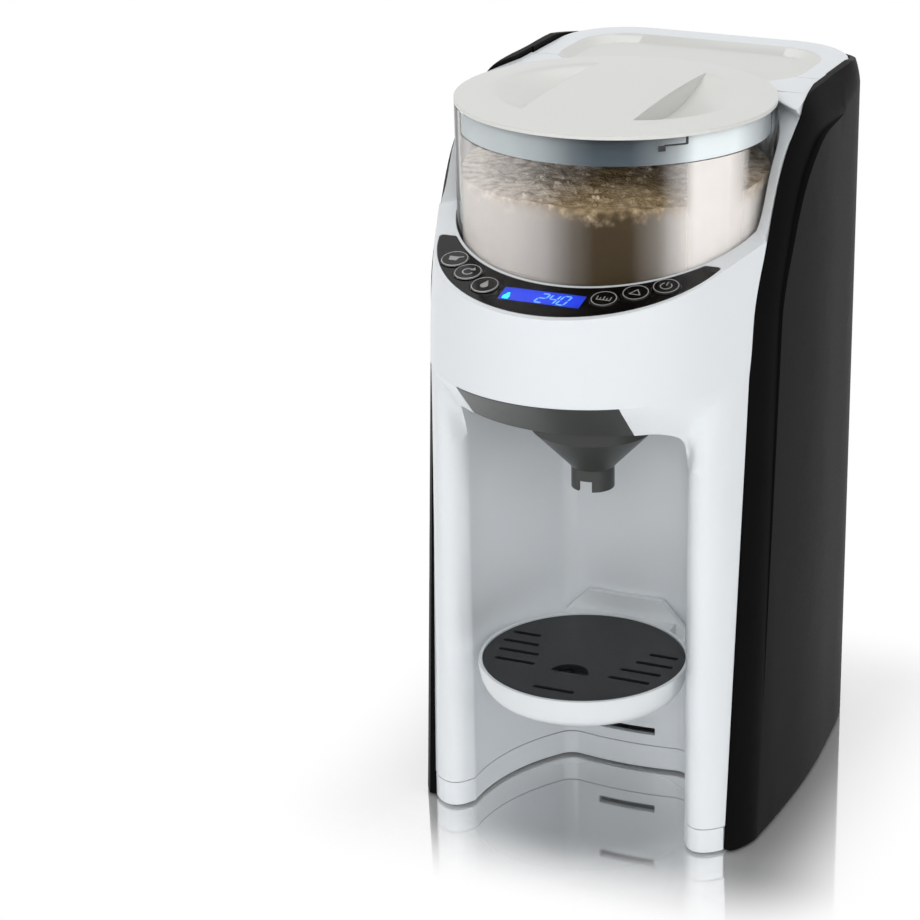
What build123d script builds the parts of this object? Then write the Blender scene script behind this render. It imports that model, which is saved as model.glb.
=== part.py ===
from build123d import *
from math import acos, asin, atan, atan2, cos, degrees, hypot, pi, radians, sin, sqrt, tan
import os

# A baby formula maker: a powder bowl with a metering wheel over a funnel, a water tank and heater
# behind, and a bottle bay with a hook-on tray in front. Millimetres, +Z up, front towards -Y.
# Everything is modelled about the bowl's axis and moved to the middle of the footprint at export.

# ---- overall sizes
REAR_Y = 144.0  # back face
DECK_Z = 333.0  # white top deck
RIM_Z = 335.0  # black rim of the side panels
FOOT_PROUD = 1.5  # rubber feet below the base
SEAM_Z = 13.1  # top of the base band
WALL = 2.8  # white housing wall
GAP = 0.4  # shadow gap between covers
FIT = 0.3  # clearance between parts that slide apart by hand
RUN = 0.05  # radial clearance of a running fit

# ---- head
BROW_Z = 226.1  # lower edge of the head's face
BROW_R = 70.4
BROW_Y = -31.6
FRONT_Y = BROW_Y - BROW_R
BROW_SIDE = (75.3, -33.0)  # where the face meets the side panel
HEAD_UPPER = (262.0, 70.0, -28.6, (77.0, -27.5))  # height, front radius, its centre, side point
HEAD_TOP = (300.0, 68.6, -22.6, (77.2, -11.0))
HEAD_CROWN = (RIM_Z + 1, 68.0, -14.0, (77.2, 15.0))  # where its flanks would reach the deck
BROW_SOFT = 0.6  # rounding of the brow
BLEND = 12.0  # reach of the soft blend between the head and the columns
BLEND_FOOT_Z = 186.0  # below this the columns run straight down
COLUMN_LEVELS = (SEAM_Z + GAP, 100.0, BLEND_FOOT_Z)
BLEND_STEPS = 8
CEILING_Z = 208.0  # underside of the head over the bay
CEILING_T = 5.6
BAY_CEILING_R = 10.0

# ---- sloping control fascia
FASCIA_SLOPE = 0.25
FASCIA_Z = 268.7  # height of its plane at FASCIA_Y
FASCIA_Y = -80.0
FASCIA_R = 67.5  # outer edge, in plan
FASCIA_CENTRE_Y = -28.0
FASCIA_TIP_Y = -43.5  # where its two ends are rounded off
FASCIA_T = 1.8
FASCIA_SKIN = 1.6  # housing left under the fascia
BUTTONS = {  # centres in plan
    "dose_button": (-50.3, -62.1),
    "dial_button": (-40.2, -70.7),
    "water_button": (-28.7, -78.8),
    "unit_button": (25.7, -78.1),
    "start_button": (37.2, -70.8),
    "power_button": (48.0, -63.3),
}
BUTTON_R = 6.2
BUTTON_PROUD = 0.8
BUTTON_TRAVEL = 0.7
BUTTON_STEM_R = 2.6
BOARD_DROP = 7.0  # control board below the fascia's face
BOARD_POSTS = ((21.5, -86.0), (-21.5, -86.0), (54.5, -56.0), (-54.5, -56.0))
WINDOW_SIZE = (37.0, 9.6)
WINDOW_AT = (-1.0, -82.0)

# ---- columns and bottle bay
NOSE_FRONT_Y = -55.3
NOSE_X = 61.5
NOSE_INNER = (8.8, 7.6, 2.2)  # inner turn: how far in from the nose, how far back, and its power
COLUMN_INNER_X = 52.7
COLUMN_INNER_Y = -45.0
FOOT_OUTER = (72.6, -47.9)
BAY_MID = (47.4, -13.5)  # a point on the curved side of the bay
BAY_CORNER = (33.8, 11.1)
BAY_BACK_X = 25.2
BAY_BACK_Y = 15.7
BAY_BACK_BULGE = 2.0

# ---- side panels
PANEL_X = 72.4  # inner face
PANEL_BEVEL_X = (75.8, 80.2, 82.9)
PANEL_BEVEL_IN = (0.0, 7.0, 16.0)
PANEL_FRONT_Y = -48.3  # front edge at the floor
PANEL_KNEE = (-31.5, 245.0)  # (y, z) where the front edge starts to sweep back
PANEL_SWEEP = ((-18.4, 284.0, 63), (1.6, 314.5, 44), (24.0, 330.0, 21))  # y, z, slope in degrees
PANEL_TOP_Y = 52.0
RAMP_START_Y = -27.0  # where the white shoulder leaves the fascia's plane
RAMP = ((-17.0, 287.2), (-9.5, 299.5), (1.6, 314.5))
PANEL_WALL = 3.0
PANEL_SIDE = ((82.9, -28.0), (84.5, -2.0), (85.2, 26.0), (84.4, 52.0), (82.2, 78.0))
BACK_R = 45.0  # rounded rear corners of the whole machine, in plan
BACK_CENTRE = (34.2, REAR_Y - BACK_R)
BACK_TURN = 21.7  # degrees: where a panel's side runs into that corner
RIM_SIDE = ((76.6, -28.0), (76.5, -2.0), (76.4, 26.0), (75.9, 52.0), (75.0, 78.0))  # its top edge
RIM_LEVELS = ((-17.0, 0.0), (-9.0, 0.2), (-3.2, 0.58), (0.2, 1.0))  # below the rim, share drawn in
PANEL_REAR_X = 58.0  # inner edge of the wrapped rear corner
PANEL_PADS = ((-42.0, 4.0), (-42.0, 30.0), (-33.0, 190.0))  # where it meets the white column
SHOULDER_X = 76.6
SHOULDER_TAPER_Y = (26.0, 60.0)
SHOULDER_BASE_Z = 249.6

# ---- rear top
TOP_HALF_X = 71.5
TOP_CORNER_R = 35.0
TOP_REAR_Y = REAR_Y - 2.4  # the black rim stands behind it
LID_SEAM_Y = 73.0
SHELF_Z = 317.0
DISH_DEPTH = 3.2
DISH_TOP = (60.0, 58.0, 127.0, 24.0)  # half width, front y, rear y, corner radius
DISH_FLOOR = (55.0, 66.0, 121.0, 19.0)

# ---- powder bowl and lid
BOWL_R = 71.0
BOWL_DRAFT = 0.6  # how far its wall leans out
BOWL_FOOT_R = BOWL_R - BOWL_DRAFT
BOWL_BOTTOM = 262.0
BOWL_TOP = 335.0
BOWL_WALL = 2.2
BOWL_CORNER = 9.0
SEAT_Z = BOWL_BOTTOM  # floor of the bowl's seat
BOWL_FLOOR = 2.6
SEAT_T = 3.0
SEAT_CLEAR = 0.7
SEAT_FLARE = 0.7
LIP = 1.5  # white lip between bowl and fascia
LID_EDGE_Z = BOWL_TOP  # the lid's edge rests on the bowl's rim
LID_EDGE_T = 1.7
LID_CROWN = 3.4
LID_SKIN = 2.2
SKIRT_Z = 325.3
SKIRT_CLEAR = 0.8  # between the skirt and the bowl's wall
SKIRT_R = BOWL_R - BOWL_WALL - SKIRT_CLEAR
SKIRT_T = 2.0
POCKET_X = 25.5
POCKET_HALF_Y = 44.0
POCKET_OUTER_X = 55.0
POCKET_DEPTH = 9.4
OUTLET_Y = -28.0  # powder outlet, chute, funnel and nozzle
OUTLET_R = 8.0

# ---- metering drive
SHAFT_R = 4.0
WHEEL_R = BOWL_FOOT_R - BOWL_CORNER - 1.4  # turns inside the bowl's rounded corner
WHEEL_VANES = 8
WHEEL_Z = BOWL_BOTTOM + BOWL_FLOOR + 1.0
WHEEL_H = 11.0
MODULE = 0.8
GEAR_TEETH = 40
PINION_TEETH = 12
GEAR_Z = 241.0
GEAR_T = 5.0
PLATE_Z = 237.0
PLATE_T = 2.0
PINION_SHAFT_R = 1.6
PINION_SHAFT_IN = 5.0  # how deep it runs into the gearbox

# ---- funnel drawer and funnel
DRAWER_HALF = 37.2  # its slanted face
DRAWER_IN = 2.6  # the tray behind the face is this much narrower on each side
DRAWER_STEP = (-64.2, 208.2)  # in front of this y the floor is raised to this height
DRAWER_FLOOR_Z = 205.2
DRAWER_WALL = 2.2
DRAWER_LOW_Z = 213.2
DRAWER_FRONT_Y = -72.0
RIB = (2.3, 1.9)  # guide rib: how far it stands out, and its height
RIB_Z = 209.8
FUNNEL_R = 27.8
FUNNEL_NECK_Z = 176.0
FUNNEL_NECK_R = 12.6
NOZZLE_R = 9.8
NOZZLE_Z = 163.0
FUNNEL_WALL = 1.8

# ---- tray
TRAY_Y = -39.6
TRAY_R = 48.4
TRAY_TOP = 82.8
TRAY_BOTTOM = 67.4
TRAY_WALL = 1.8
GRATE_T = 2.4
SLOT_HALF_X = 14.4
SLOT_H = 3.8
SLOT_ZS = (19.0, 49.0, 79.0)  # three tray heights
HOOK_X = (5.0, SLOT_HALF_X - 0.5)  # two tongues, from and to
HOOK_PAST = 4.0  # how far they reach behind the bay wall

# ---- water tank
TANK_HALF_X = 56.8
TANK_FRONT_Y = 77.0
TANK_REAR_Y = REAR_Y - 1.2
TANK_BOTTOM = 58.0
TANK_TOP = SHELF_Z + GAP  # its rim carries the lid
TANK_WALL = 2.4
TANK_CORNER = 9.0
PORT_Y = 108.0
PORT_R = 9.0
FRAME_Y = 73.4
FRAME_T = 2.4
SHELF_TANK_Z = 54.0


def at(x, y, z, shape):
    return Pos(x, y, z) * shape


def mirrored(shape):
    """The same shape on the machine's other side."""
    return mirror(shape, about=Plane.YZ)


def both_sides(shape):
    return shape + mirrored(shape)


def prism(face, low, high):
    """A plan face carried from one height to another."""
    return extrude(Pos(0, 0, low) * face, high - low)


def ring(outer, inner, low, high, x=0, y=0):
    outside = at(x, y, (low + high) / 2, Cylinder(outer, high - low))
    return outside - at(x, y, (low + high) / 2, Cylinder(inner, high - low + 2))


def disc(radius, low, high, x=0, y=0):
    return at(x, y, (low + high) / 2, Cylinder(radius, high - low))


def block(x0, x1, y0, y1, z0, z1):
    centre = ((x0 + x1) / 2, (y0 + y1) / 2, (z0 + z1) / 2)
    return at(*centre, Box(x1 - x0, y1 - y0, z1 - z0))


def turned(points):
    """A solid of revolution from (radius, height) points."""
    outline = Plane.XZ * make_face(Polyline(*points, close=True))
    return revolve(outline, Axis.Z)


def try_fillet(solid, edges, radius):
    return fillet(edges, radius) if edges else solid


# ---------------------------------------------------------------- shared outlines
def head_face(z, radius, centre_y, side):
    """Plan of the head: a round front, straight flanks tangent to it, and a square back."""
    side_x, side_y = side
    reach = hypot(side_x, side_y - centre_y)
    turn = atan2(side_y - centre_y, side_x) - acos(radius / reach)
    touch = (radius * cos(turn), centre_y + radius * sin(turn))
    other = (-touch[0], touch[1])
    lines = [
        ThreePointArc(other, (0, centre_y - radius), touch),
        Line(touch, (side_x, side_y)),
        Line((side_x, side_y), (side_x, LID_SEAM_Y - GAP)),
        Line((side_x, LID_SEAM_Y - GAP), (-side_x, LID_SEAM_Y - GAP)),
        Line((-side_x, LID_SEAM_Y - GAP), (-side_x, side_y)),
        Line((-side_x, side_y), other),
    ]
    return Pos(0, 0, z) * make_face(lines)


def between(z, low, high):
    """A share from 0 to 1 between two heights."""
    return min(1.0, max(0.0, (z - low) / (high - low)))


def mix(a, b, share):
    return a + (b - a) * share


def head_at(z):
    """Front radius, its centre and the side point of the head at height z."""
    z2, radius2, centre2, side2 = HEAD_UPPER
    z3, radius3, centre3, side3 = HEAD_TOP
    low, high = between(z, BROW_Z, z2), between(z, z2, z3)
    radius = mix(mix(BROW_R, radius2, low), radius3, high)
    centre = mix(mix(BROW_Y, centre2, low), centre3, high)
    side_x = mix(mix(BROW_SIDE[0], side2[0], low), side3[0], high)
    side_y = mix(mix(BROW_SIDE[1], side2[1], low), side3[1], high)
    return radius, centre, side_x, side_y


def head_front(x, z):
    """How far forward the head's face is at x: its round front, then a straight flank."""
    radius, centre, side_x, side_y = head_at(z)
    reach = hypot(side_x, side_y - centre)
    turn = atan2(side_y - centre, side_x) - acos(radius / reach)
    touch_x, touch_y = radius * cos(turn), centre + radius * sin(turn)
    if x <= touch_x:
        return centre - sqrt(radius**2 - x**2)
    return mix(touch_y, side_y, (x - touch_x) / (side_x - touch_x))


def column_side(z):
    """Where the column's outer side meets the black panel."""
    share = between(z, SEAM_Z, BROW_Z)
    return mix(FOOT_OUTER[0], BROW_SIDE[0], share), mix(FOOT_OUTER[1], BROW_SIDE[1], share**1.15)


def column_front(x, z):
    """How far forward a column is at x: a rounded nose, turning back on both sides."""
    side_x, side_y = column_side(z)
    if x >= NOSE_X:
        return NOSE_FRONT_Y + (side_y - NOSE_FRONT_Y) * ((x - NOSE_X) / (side_x - NOSE_X)) ** 2
    width, depth, power = NOSE_INNER
    return NOSE_FRONT_Y + depth * ((NOSE_X - x) / width) ** power


def skin_front(x, share, z):
    """The white front at x and height z: the head's face, drawn back below the brow at 45
    degrees until it blends into the columns. share runs from 0 in the middle to 1 at the side."""
    face = head_front(x, z)
    if z >= BROW_Z + 20:
        return face
    below = min(BROW_Z - z, BROW_Z - BLEND_FOOT_Z)
    face += (below + hypot(below, BROW_SOFT)) / 2
    if z > BROW_Z:
        return mix(face, head_front(x, z), share**4)
    column = column_front(x, z)
    reach = BLEND * (1 - share**4) + 0.01
    near = max(reach - abs(face - column), 0) / reach
    return min(face, column) - near**2 * reach / 4


def skin_face(z):
    """Plan of the white front at height z, squared off at the back."""
    side_x = head_at(z)[2] if z >= BROW_Z else column_side(z)[0]
    back = LID_SEAM_Y - GAP
    front = []
    for share in (0.0, 0.17, 0.33, 0.48, 0.57, 0.65, 0.72, 0.78, 0.84, 0.9, 0.95, 1.0):
        x = side_x * share
        front.append((x, skin_front(x, share, z)))
    front = [(-x, y) for x, y in reversed(front[1:])] + front
    lines = [
        Spline(front),
        Line(front[-1], (side_x, back)),
        Line((side_x, back), (-side_x, back)),
        Line((-side_x, back), front[0]),
    ]
    return Pos(0, 0, z) * make_face(lines)


def base_face():
    """Plan of the columns at the seam, for the base band below it."""
    return Pos(0, 0, -SEAM_Z - GAP) * skin_face(SEAM_Z + GAP)


def bay_face(grow=0.0):
    """Plan of the bottle bay, open to the front; grow widens it all round."""
    mouth_y = NOSE_FRONT_Y - 60
    mouth = (COLUMN_INNER_X, COLUMN_INNER_Y)
    lines = [
        Line((mouth[0], mouth_y), mouth),
        ThreePointArc(mouth, BAY_MID, BAY_CORNER),
        ThreePointArc(BAY_CORNER, (30.4, 14.3), (BAY_BACK_X, BAY_BACK_Y)),
    ]
    lines += [mirror(line, about=Plane.YZ) for line in lines]
    centre = (0, BAY_BACK_Y - BAY_BACK_BULGE)
    lines.append(ThreePointArc((-BAY_BACK_X, BAY_BACK_Y), centre, (BAY_BACK_X, BAY_BACK_Y)))
    lines.append(Line((-mouth[0], mouth_y), (mouth[0], mouth_y)))
    face = make_face(lines)
    return offset(face, grow) if grow else face


def drawer_face(grow=0.0):
    """Plan of the funnel drawer: straight sides and a round back end."""
    half = DRAWER_HALF + grow
    long = OUTLET_Y - FRONT_Y + 20
    straight = Pos(0, OUTLET_Y - long / 2) * Rectangle(2 * half, long)
    return straight + Pos(0, OUTLET_Y) * Circle(half)


def fascia_plane(x=0.0, y=FASCIA_Y):
    """The fascia's face, with its origin over a plan point."""
    z = FASCIA_Z + FASCIA_SLOPE * (y - FASCIA_Y)
    return Plane(origin=(x, y, z), x_dir=(1, 0, 0), z_dir=(0, -FASCIA_SLOPE, 1))


def fascia_height(y):
    return FASCIA_Z + FASCIA_SLOPE * (y - FASCIA_Y)


def fascia_slab(top, bottom):
    """Everything between two depths measured from the fascia's face."""
    return fascia_plane() * at(0, 0, (top + bottom) / 2, Box(400, 400, top - bottom))


def crescent(grow=0.0):
    """Plan of the fascia: between the bowl's lip and the face's front edge, ends rounded."""
    inner_r = BOWL_FOOT_R + SEAT_CLEAR + LIP - grow
    face = Pos(0, FASCIA_CENTRE_Y) * Circle(FASCIA_R + grow) - Circle(inner_r)
    front = Pos(0, FASCIA_TIP_Y - 100 + grow) * Rectangle(300, 200)
    face = face & front
    return fillet(face.vertices(), 1.6)


def panel_face(inset):
    """Side view of a panel in Y and Z, drawn in by inset except along the floor."""
    foot = (PANEL_FRONT_Y + inset, FOOT_PROUD)
    knee = (PANEL_KNEE[0] + inset, PANEL_KNEE[1])
    sweep = []
    for y, z, slope in PANEL_SWEEP:
        inward = radians(slope - 90)
        sweep.append((y + inset * cos(inward), z + inset * sin(inward)))
    top = (PANEL_TOP_Y, RIM_Z - inset)
    rise = (knee[0] - foot[0], knee[1] - foot[1])
    rear = REAR_Y + 10
    lines = [
        Line(foot, knee),
        Spline([knee, *sweep, top], tangents=[rise, (1, 0)]),
        Line(top, (rear, top[1])),
        Line((rear, top[1]), (rear, FOOT_PROUD)),
        Line((rear, FOOT_PROUD), foot),
    ]
    return make_face(lines)


def panel_slab(inset, x0, x1):
    return extrude(Plane.YZ * Pos(0, 0, x0) * panel_face(inset), x1 - x0)


def back_point(radius, turn):
    """A point of the rounded rear corner at turn degrees from the side."""
    return BACK_CENTRE[0] + radius * cos(radians(turn)), BACK_CENTRE[1] + radius * sin(radians(turn))


def back_tangent(turn):
    return -sin(radians(turn)), cos(radians(turn))


def back_face(inset=0.0):
    """Everything inside the machine's rounded back, drawn in by inset."""
    half, rear = BACK_CENTRE[0] + BACK_R - inset, REAR_Y - inset
    return Pos(0, (rear - 200) / 2) * RectangleRounded(2 * half, rear + 200, BACK_R - inset)


def rim_face(share, z):
    """Plan of the right panel's rounded top edge, from its full width to the black rim."""
    outer = [(x + 0.3, y) for x, y in PANEL_SIDE]
    outer += [back_point(BACK_R + 0.3, a) for a in (BACK_TURN, 50, 90)]
    centre = (TOP_HALF_X - TOP_CORNER_R, TOP_REAR_Y - TOP_CORNER_R)
    inner = list(RIM_SIDE)
    for turn, reach in ((BACK_TURN, 2.0), (50, 1.8), (90, 1.9)):
        radius = TOP_CORNER_R + reach
        inner.append((centre[0] + radius * cos(radians(turn)), centre[1] + radius * sin(radians(turn))))
    inner[-1] = (BACK_CENTRE[0], inner[-1][1])
    points = [(mix(a[0], b[0], share), mix(a[1], b[1], share)) for a, b in zip(outer, inner)]
    points.insert(0, (points[0][0] - 3, PANEL_FRONT_Y - 10))
    lines = [
        Spline(points, tangents=[(0.1, 1), (-1, 0)]),
        Line(points[-1], (BACK_CENTRE[0], points[0][1])),
        Line((BACK_CENTRE[0], points[0][1]), points[0]),
    ]
    return Pos(0, 0, z) * make_face(lines)


def rim_solid():
    """What the panel's top edge may fill: straight below, rounded over to the rim above."""
    low = RIM_Z + RIM_LEVELS[0][0]
    top = loft([rim_face(share, RIM_Z + drop) for drop, share in RIM_LEVELS])
    return extrude(rim_face(0, -1), low + 1) + top


def panel_plan(thin=0.0):
    """Plan of the right panel with its wrapped rear corner; thin draws the outer skin in."""
    side = [(x - thin, y) for x, y in PANEL_SIDE]
    radius = BACK_R - thin
    turn = degrees(acos((PANEL_REAR_X - BACK_CENTRE[0]) / radius))
    touch, middle, end = (back_point(radius, a) for a in (BACK_TURN, (BACK_TURN + turn) / 2, turn))
    front_y = PANEL_FRONT_Y - 20
    lines = [
        Line((PANEL_X, front_y), (side[0][0], front_y)),
        Line((side[0][0], front_y), side[0]),
        Spline([*side, touch], tangents=[(0.1, 1), back_tangent(BACK_TURN)]),
        ThreePointArc(touch, middle, end),
        Line(end, (PANEL_REAR_X, TANK_FRONT_Y - 1)),
        Line((PANEL_REAR_X, TANK_FRONT_Y - 1), (PANEL_X, TANK_FRONT_Y - 1)),
        Line((PANEL_X, TANK_FRONT_Y - 1), (PANEL_X, front_y)),
    ]
    return make_face(lines)


def shoulder_face(grow=0.0, wide=SHOULDER_X):
    """Plan of the white shoulders and deck beside and behind the bowl."""
    wide += grow
    narrow = TOP_HALF_X + grow
    y0, y1 = SHOULDER_TAPER_Y
    back = LID_SEAM_Y - GAP + grow
    points = [(wide, -60), (wide, y0), (narrow, y1), (narrow, back)]
    points += [(-x, y) for x, y in reversed(points)]
    return make_face(Polyline(*points, close=True))


def shoulder_solid(grow=0.0):
    """The shoulders' room, flush with the columns at its foot and a little wider above."""
    low, high = SHOULDER_BASE_Z - grow, SHOULDER_BASE_Z + 34
    foot = Pos(0, 0, low) * shoulder_face(grow, PANEL_BEVEL_X[0] - GAP)
    return loft([foot, Pos(0, 0, high) * shoulder_face(grow)], ruled=True) + prism(
        shoulder_face(grow), high - 0.01, RIM_Z + 20)


def top_face(grow=0.0):
    """Plan of the rear top, inside the black rim."""
    half = TOP_HALF_X + grow
    rear = TOP_REAR_Y + grow
    radius = TOP_CORNER_R + grow
    front = 20.0
    face = Pos(0, (front + rear) / 2) * Rectangle(2 * half, rear - front)
    corners = [v for v in face.vertices() if v.Y > front + 1]
    return fillet(corners, radius)


def dish():
    """The shallow dish sunk in the rear top."""
    faces = []
    for (half, front, rear, radius), z in ((DISH_TOP, DECK_Z + 0.01), (DISH_FLOOR, DECK_Z - DISH_DEPTH)):
        face = Pos(0, (front + rear) / 2) * RectangleRounded(2 * half, rear - front, radius)
        faces.append(Pos(0, 0, z) * face)
    return loft(faces)


def seat_profile(clear):
    """The bowl's outside as a solid, grown by a clearance and flared above the fascia."""
    foot = BOWL_FOOT_R + clear
    return turned(
        [
            (0, SEAT_Z),
            (foot - BOWL_CORNER, SEAT_Z),
            (foot, SEAT_Z + BOWL_CORNER),
            (foot, SEAT_Z + 24),
            (BOWL_R + clear + SEAT_FLARE, RIM_Z + 20),
            (0, RIM_Z + 20),
        ]
    )


# ---------------------------------------------------------------- white housing
def raw_front():
    """Columns, blend and head in one skin, still solid, cut off by the fascia's plane."""
    rise = (BROW_Z - BLEND_FOOT_Z) / BLEND_STEPS
    blend_levels = [BLEND_FOOT_Z + k * rise for k in range(BLEND_STEPS)] + [BROW_Z]
    columns = loft([skin_face(z) for z in COLUMN_LEVELS])
    blend = loft([skin_face(z) for z in blend_levels])
    head = loft([skin_face(z) for z in (BROW_Z, HEAD_UPPER[0], HEAD_TOP[0])])
    return columns + blend + (head & fascia_slab(0, -300))


def bay_room():
    """The bottle bay as a solid, its ceiling rounded into its walls."""
    room = prism(bay_face(), 0, CEILING_Z)
    rim = [e for e in room.edges().group_by(Axis.Z)[-1] if e.center().Y > -400 and e.length < 150]
    rim = [e for e in rim if abs(e.center().X) > 1 or e.center().Y > 0]
    return fillet(rim, BAY_CEILING_R)


def raw_shoulders():
    """White wings that sweep up beside the bowl, and the deck behind it."""
    knee_y, knee_z = PANEL_KNEE
    top = (PANEL_TOP_Y, DECK_Z)
    start = (RAMP_START_Y, fascia_height(RAMP_START_Y) - 0.3)
    ramp = [start, *RAMP, (24.0, DECK_Z - 5), top]
    lines = [
        Line((knee_y, knee_z - 20), (knee_y, start[1])),
        Line((knee_y, start[1]), start),
        Spline(ramp, tangents=[(1, FASCIA_SLOPE), (1, 0)]),
        Line(top, (LID_SEAM_Y, DECK_Z)),
        Line((LID_SEAM_Y, DECK_Z), (LID_SEAM_Y, knee_z - 20)),
        Line((LID_SEAM_Y, knee_z - 20), (knee_y, knee_z - 20)),
    ]
    side = Plane.YZ * Pos(0, 0, SHOULDER_X) * make_face(lines)
    wing = extrude(side, 26 * sqrt(2), dir=(-1, 1, 0))
    deck = block(-SHOULDER_X, SHOULDER_X, 46, LID_SEAM_Y - GAP, SHOULDER_BASE_Z - 20, DECK_Z)
    flanks = (BROW_Z, BROW_R, BROW_Y, BROW_SIDE), HEAD_UPPER, HEAD_TOP, HEAD_CROWN
    wing &= loft([head_face(*level) for level in flanks], ruled=True)
    whole = both_sides(wing) + deck
    return whole & prism(shoulder_face(), SHOULDER_BASE_Z - 21, DECK_Z + 1)


def head_cavity():
    """Room in the head for the drive, the boards and the hoses."""
    def inner(z, radius, centre_y, side):
        return head_face(z, radius - WALL, centre_y, (PANEL_X - WALL, side[1] + 2 * WALL))

    low = inner(BROW_Z, BROW_R, BROW_Y, BROW_SIDE)
    upper = loft([low, inner(*HEAD_UPPER), inner(*HEAD_TOP)])
    lower = prism(Pos(0, 0, -BROW_Z) * low, CEILING_Z + CEILING_T, BROW_Z)
    room = upper + lower
    room -= block(-90, 90, FRONT_Y - 1, NOSE_FRONT_Y + WALL, CEILING_Z, BROW_Z + WALL)
    room &= fascia_slab(-FASCIA_T - FASCIA_SKIN, -200)
    seat = disc(BOWL_FOOT_R + SEAT_CLEAR + WALL, SEAT_Z - SEAT_T, RIM_Z)
    rear_top = block(-90, 90, -35, 90, SEAT_Z - SEAT_T, RIM_Z)
    return room - seat - rear_top


def rear_cavity():
    """Room behind the bay wall for pump, heater and hoses, open at the back."""
    half = PANEL_X - GAP - WALL
    room = block(-half, half, -33, LID_SEAM_Y + 1, SEAM_Z - 1, SEAT_Z - SEAT_T)
    room -= prism(bay_face(WALL), 0, CEILING_Z)
    ceiling = block(-90, 90, -60, BAY_BACK_Y + WALL, CEILING_Z - 0.01, CEILING_Z + CEILING_T)
    return room - ceiling


def hook_slot(z, grow=0.0):
    height = SLOT_H + 2 * grow
    half = SLOT_HALF_X + grow
    return block(-half, half, BAY_BACK_Y - 6, BAY_BACK_Y + WALL + 3, z - grow, z - grow + height)


def front_shell():
    body = raw_front() + raw_shoulders()
    body -= bay_room()
    # room for the side panels behind the white face, and for their shoulders above
    panel_room = panel_slab(-GAP, PANEL_X - GAP, 100)
    panel_room -= shoulder_solid()
    body -= both_sides(panel_room)
    body -= seat_profile(SEAT_CLEAR)
    body -= head_cavity() + rear_cavity()
    # fascia pocket, button stems and board window
    body -= prism(crescent(0.25), 240, 300) & fascia_slab(1, -FASCIA_T)
    for x, y in BUTTONS.values():
        body -= fascia_plane(x, y) * Cylinder(BUTTON_STEM_R + FIT, 12)
    body -= fascia_plane(*WINDOW_AT) * Box(WINDOW_SIZE[0] - 2, WINDOW_SIZE[1] - 2, 12)
    for x, y in BOARD_POSTS:
        body += fascia_plane(x, y) * at(0, 0, -(BOARD_DROP + FASCIA_T) / 2, Cylinder(2.4, BOARD_DROP - FASCIA_T))
    # funnel drawer slot with its rib grooves
    body -= prism(drawer_face(GAP - DRAWER_IN), CEILING_Z - 50, DRAWER_LOW_Z + GAP)
    body -= prism(drawer_face(GAP) & Pos(0, DRAWER_FRONT_Y - 50 + GAP) * Rectangle(200, 100),
                  CEILING_Z - 50, BROW_Z + 0.2)
    groove = prism(drawer_face(RIB[0] + FIT - DRAWER_IN), RIB_Z, RIB_Z + RIB[1] + FIT)
    body -= groove & block(-90, 90, FRONT_Y, OUTLET_Y + 60, 0, 300)
    # holes in the bowl's seat
    body -= disc(OUTLET_R + 0.6, SEAT_Z - 9, SEAT_Z + 1, 0, OUTLET_Y)
    body -= disc(SHAFT_R + 0.6, SEAT_Z - 9, SEAT_Z + 1)
    for z in SLOT_ZS:
        body -= hook_slot(z)
    for x, y in SHELL_SCREWS:
        body += disc(BOSS_R, SEAM_Z, SEAM_Z + SCREW_REACH + 4, x, y)
        body -= disc(SCREW_R - 0.1, SEAM_Z - 1, SEAM_Z + SCREW_REACH + 0.4, x, y)
    return body - dish()


def base_plate():
    """The white bottom band: the columns' feet, the bay's foot and a floor under the works."""
    outline = base_face()
    half = PANEL_X - GAP
    side = Pos(0, (LID_SEAM_Y - 40) / 2) * Rectangle(2 * half, LID_SEAM_Y + 40)
    trimmed = outline & (Pos(0, 50 + COLUMN_INNER_Y - 40) * Rectangle(2 * half, 300))
    plan = trimmed & (side + Pos(0, COLUMN_INNER_Y) * Rectangle(200, 30))
    rear_half = PANEL_REAR_X - GAP
    rear = Pos(0, (LID_SEAM_Y - 5 + REAR_Y - 0.6) / 2) * Rectangle(2 * rear_half, REAR_Y - 0.6 - LID_SEAM_Y + 5)
    rear &= back_face(0.6)
    body = prism(plan + rear - bay_face(), FOOT_PROUD, SEAM_Z)
    front_y, rear_y = -38.0, REAR_Y - 0.6 - WALL
    inside = Pos(0, (front_y + LID_SEAM_Y) / 2) * Rectangle(2 * (half - WALL), LID_SEAM_Y - front_y)
    back = Pos(0, (60 + rear_y) / 2) * Rectangle(2 * (rear_half - WALL), rear_y - 60)
    inside += back & back_face(0.6 + WALL)
    body -= prism(inside - bay_face(WALL), FOOT_PROUD + WALL, SEAM_Z + 1)
    for x, y in FEET:
        body -= disc(FOOT_R + 0.2, 0, FOOT_PROUD + FOOT_SUNK, x, y)
    for x, y in SCREWS:
        body += disc(BOSS_R, FOOT_PROUD, SEAM_Z, x, y)
        body -= disc(SCREW_HEAD_R + 0.3, 0, FOOT_PROUD + 3.2, x, y)
        body -= disc(SCREW_R, 0, SEAM_Z + 1, x, y)
    return body


FOOT_R = 6.5
FOOT_SUNK = 2.0
FEET = ((62.4, -36.0), (-62.4, -36.0), (46.0, 126.0), (-46.0, 126.0), (62.0, 52.0), (-62.0, 52.0))
SCREW_R = 1.75
SCREW_HEAD_R = 3.4
BOSS_R = 4.6
SHELL_SCREWS = ((65.0, -20.0), (-65.0, -20.0), (65.0, 30.0), (-65.0, 30.0))
FRAME_SCREWS = ((51.0, 112.0), (-51.0, 112.0))
SCREWS = SHELL_SCREWS + FRAME_SCREWS
SCREW_REACH = 9.0  # how far they run into a boss


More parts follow.
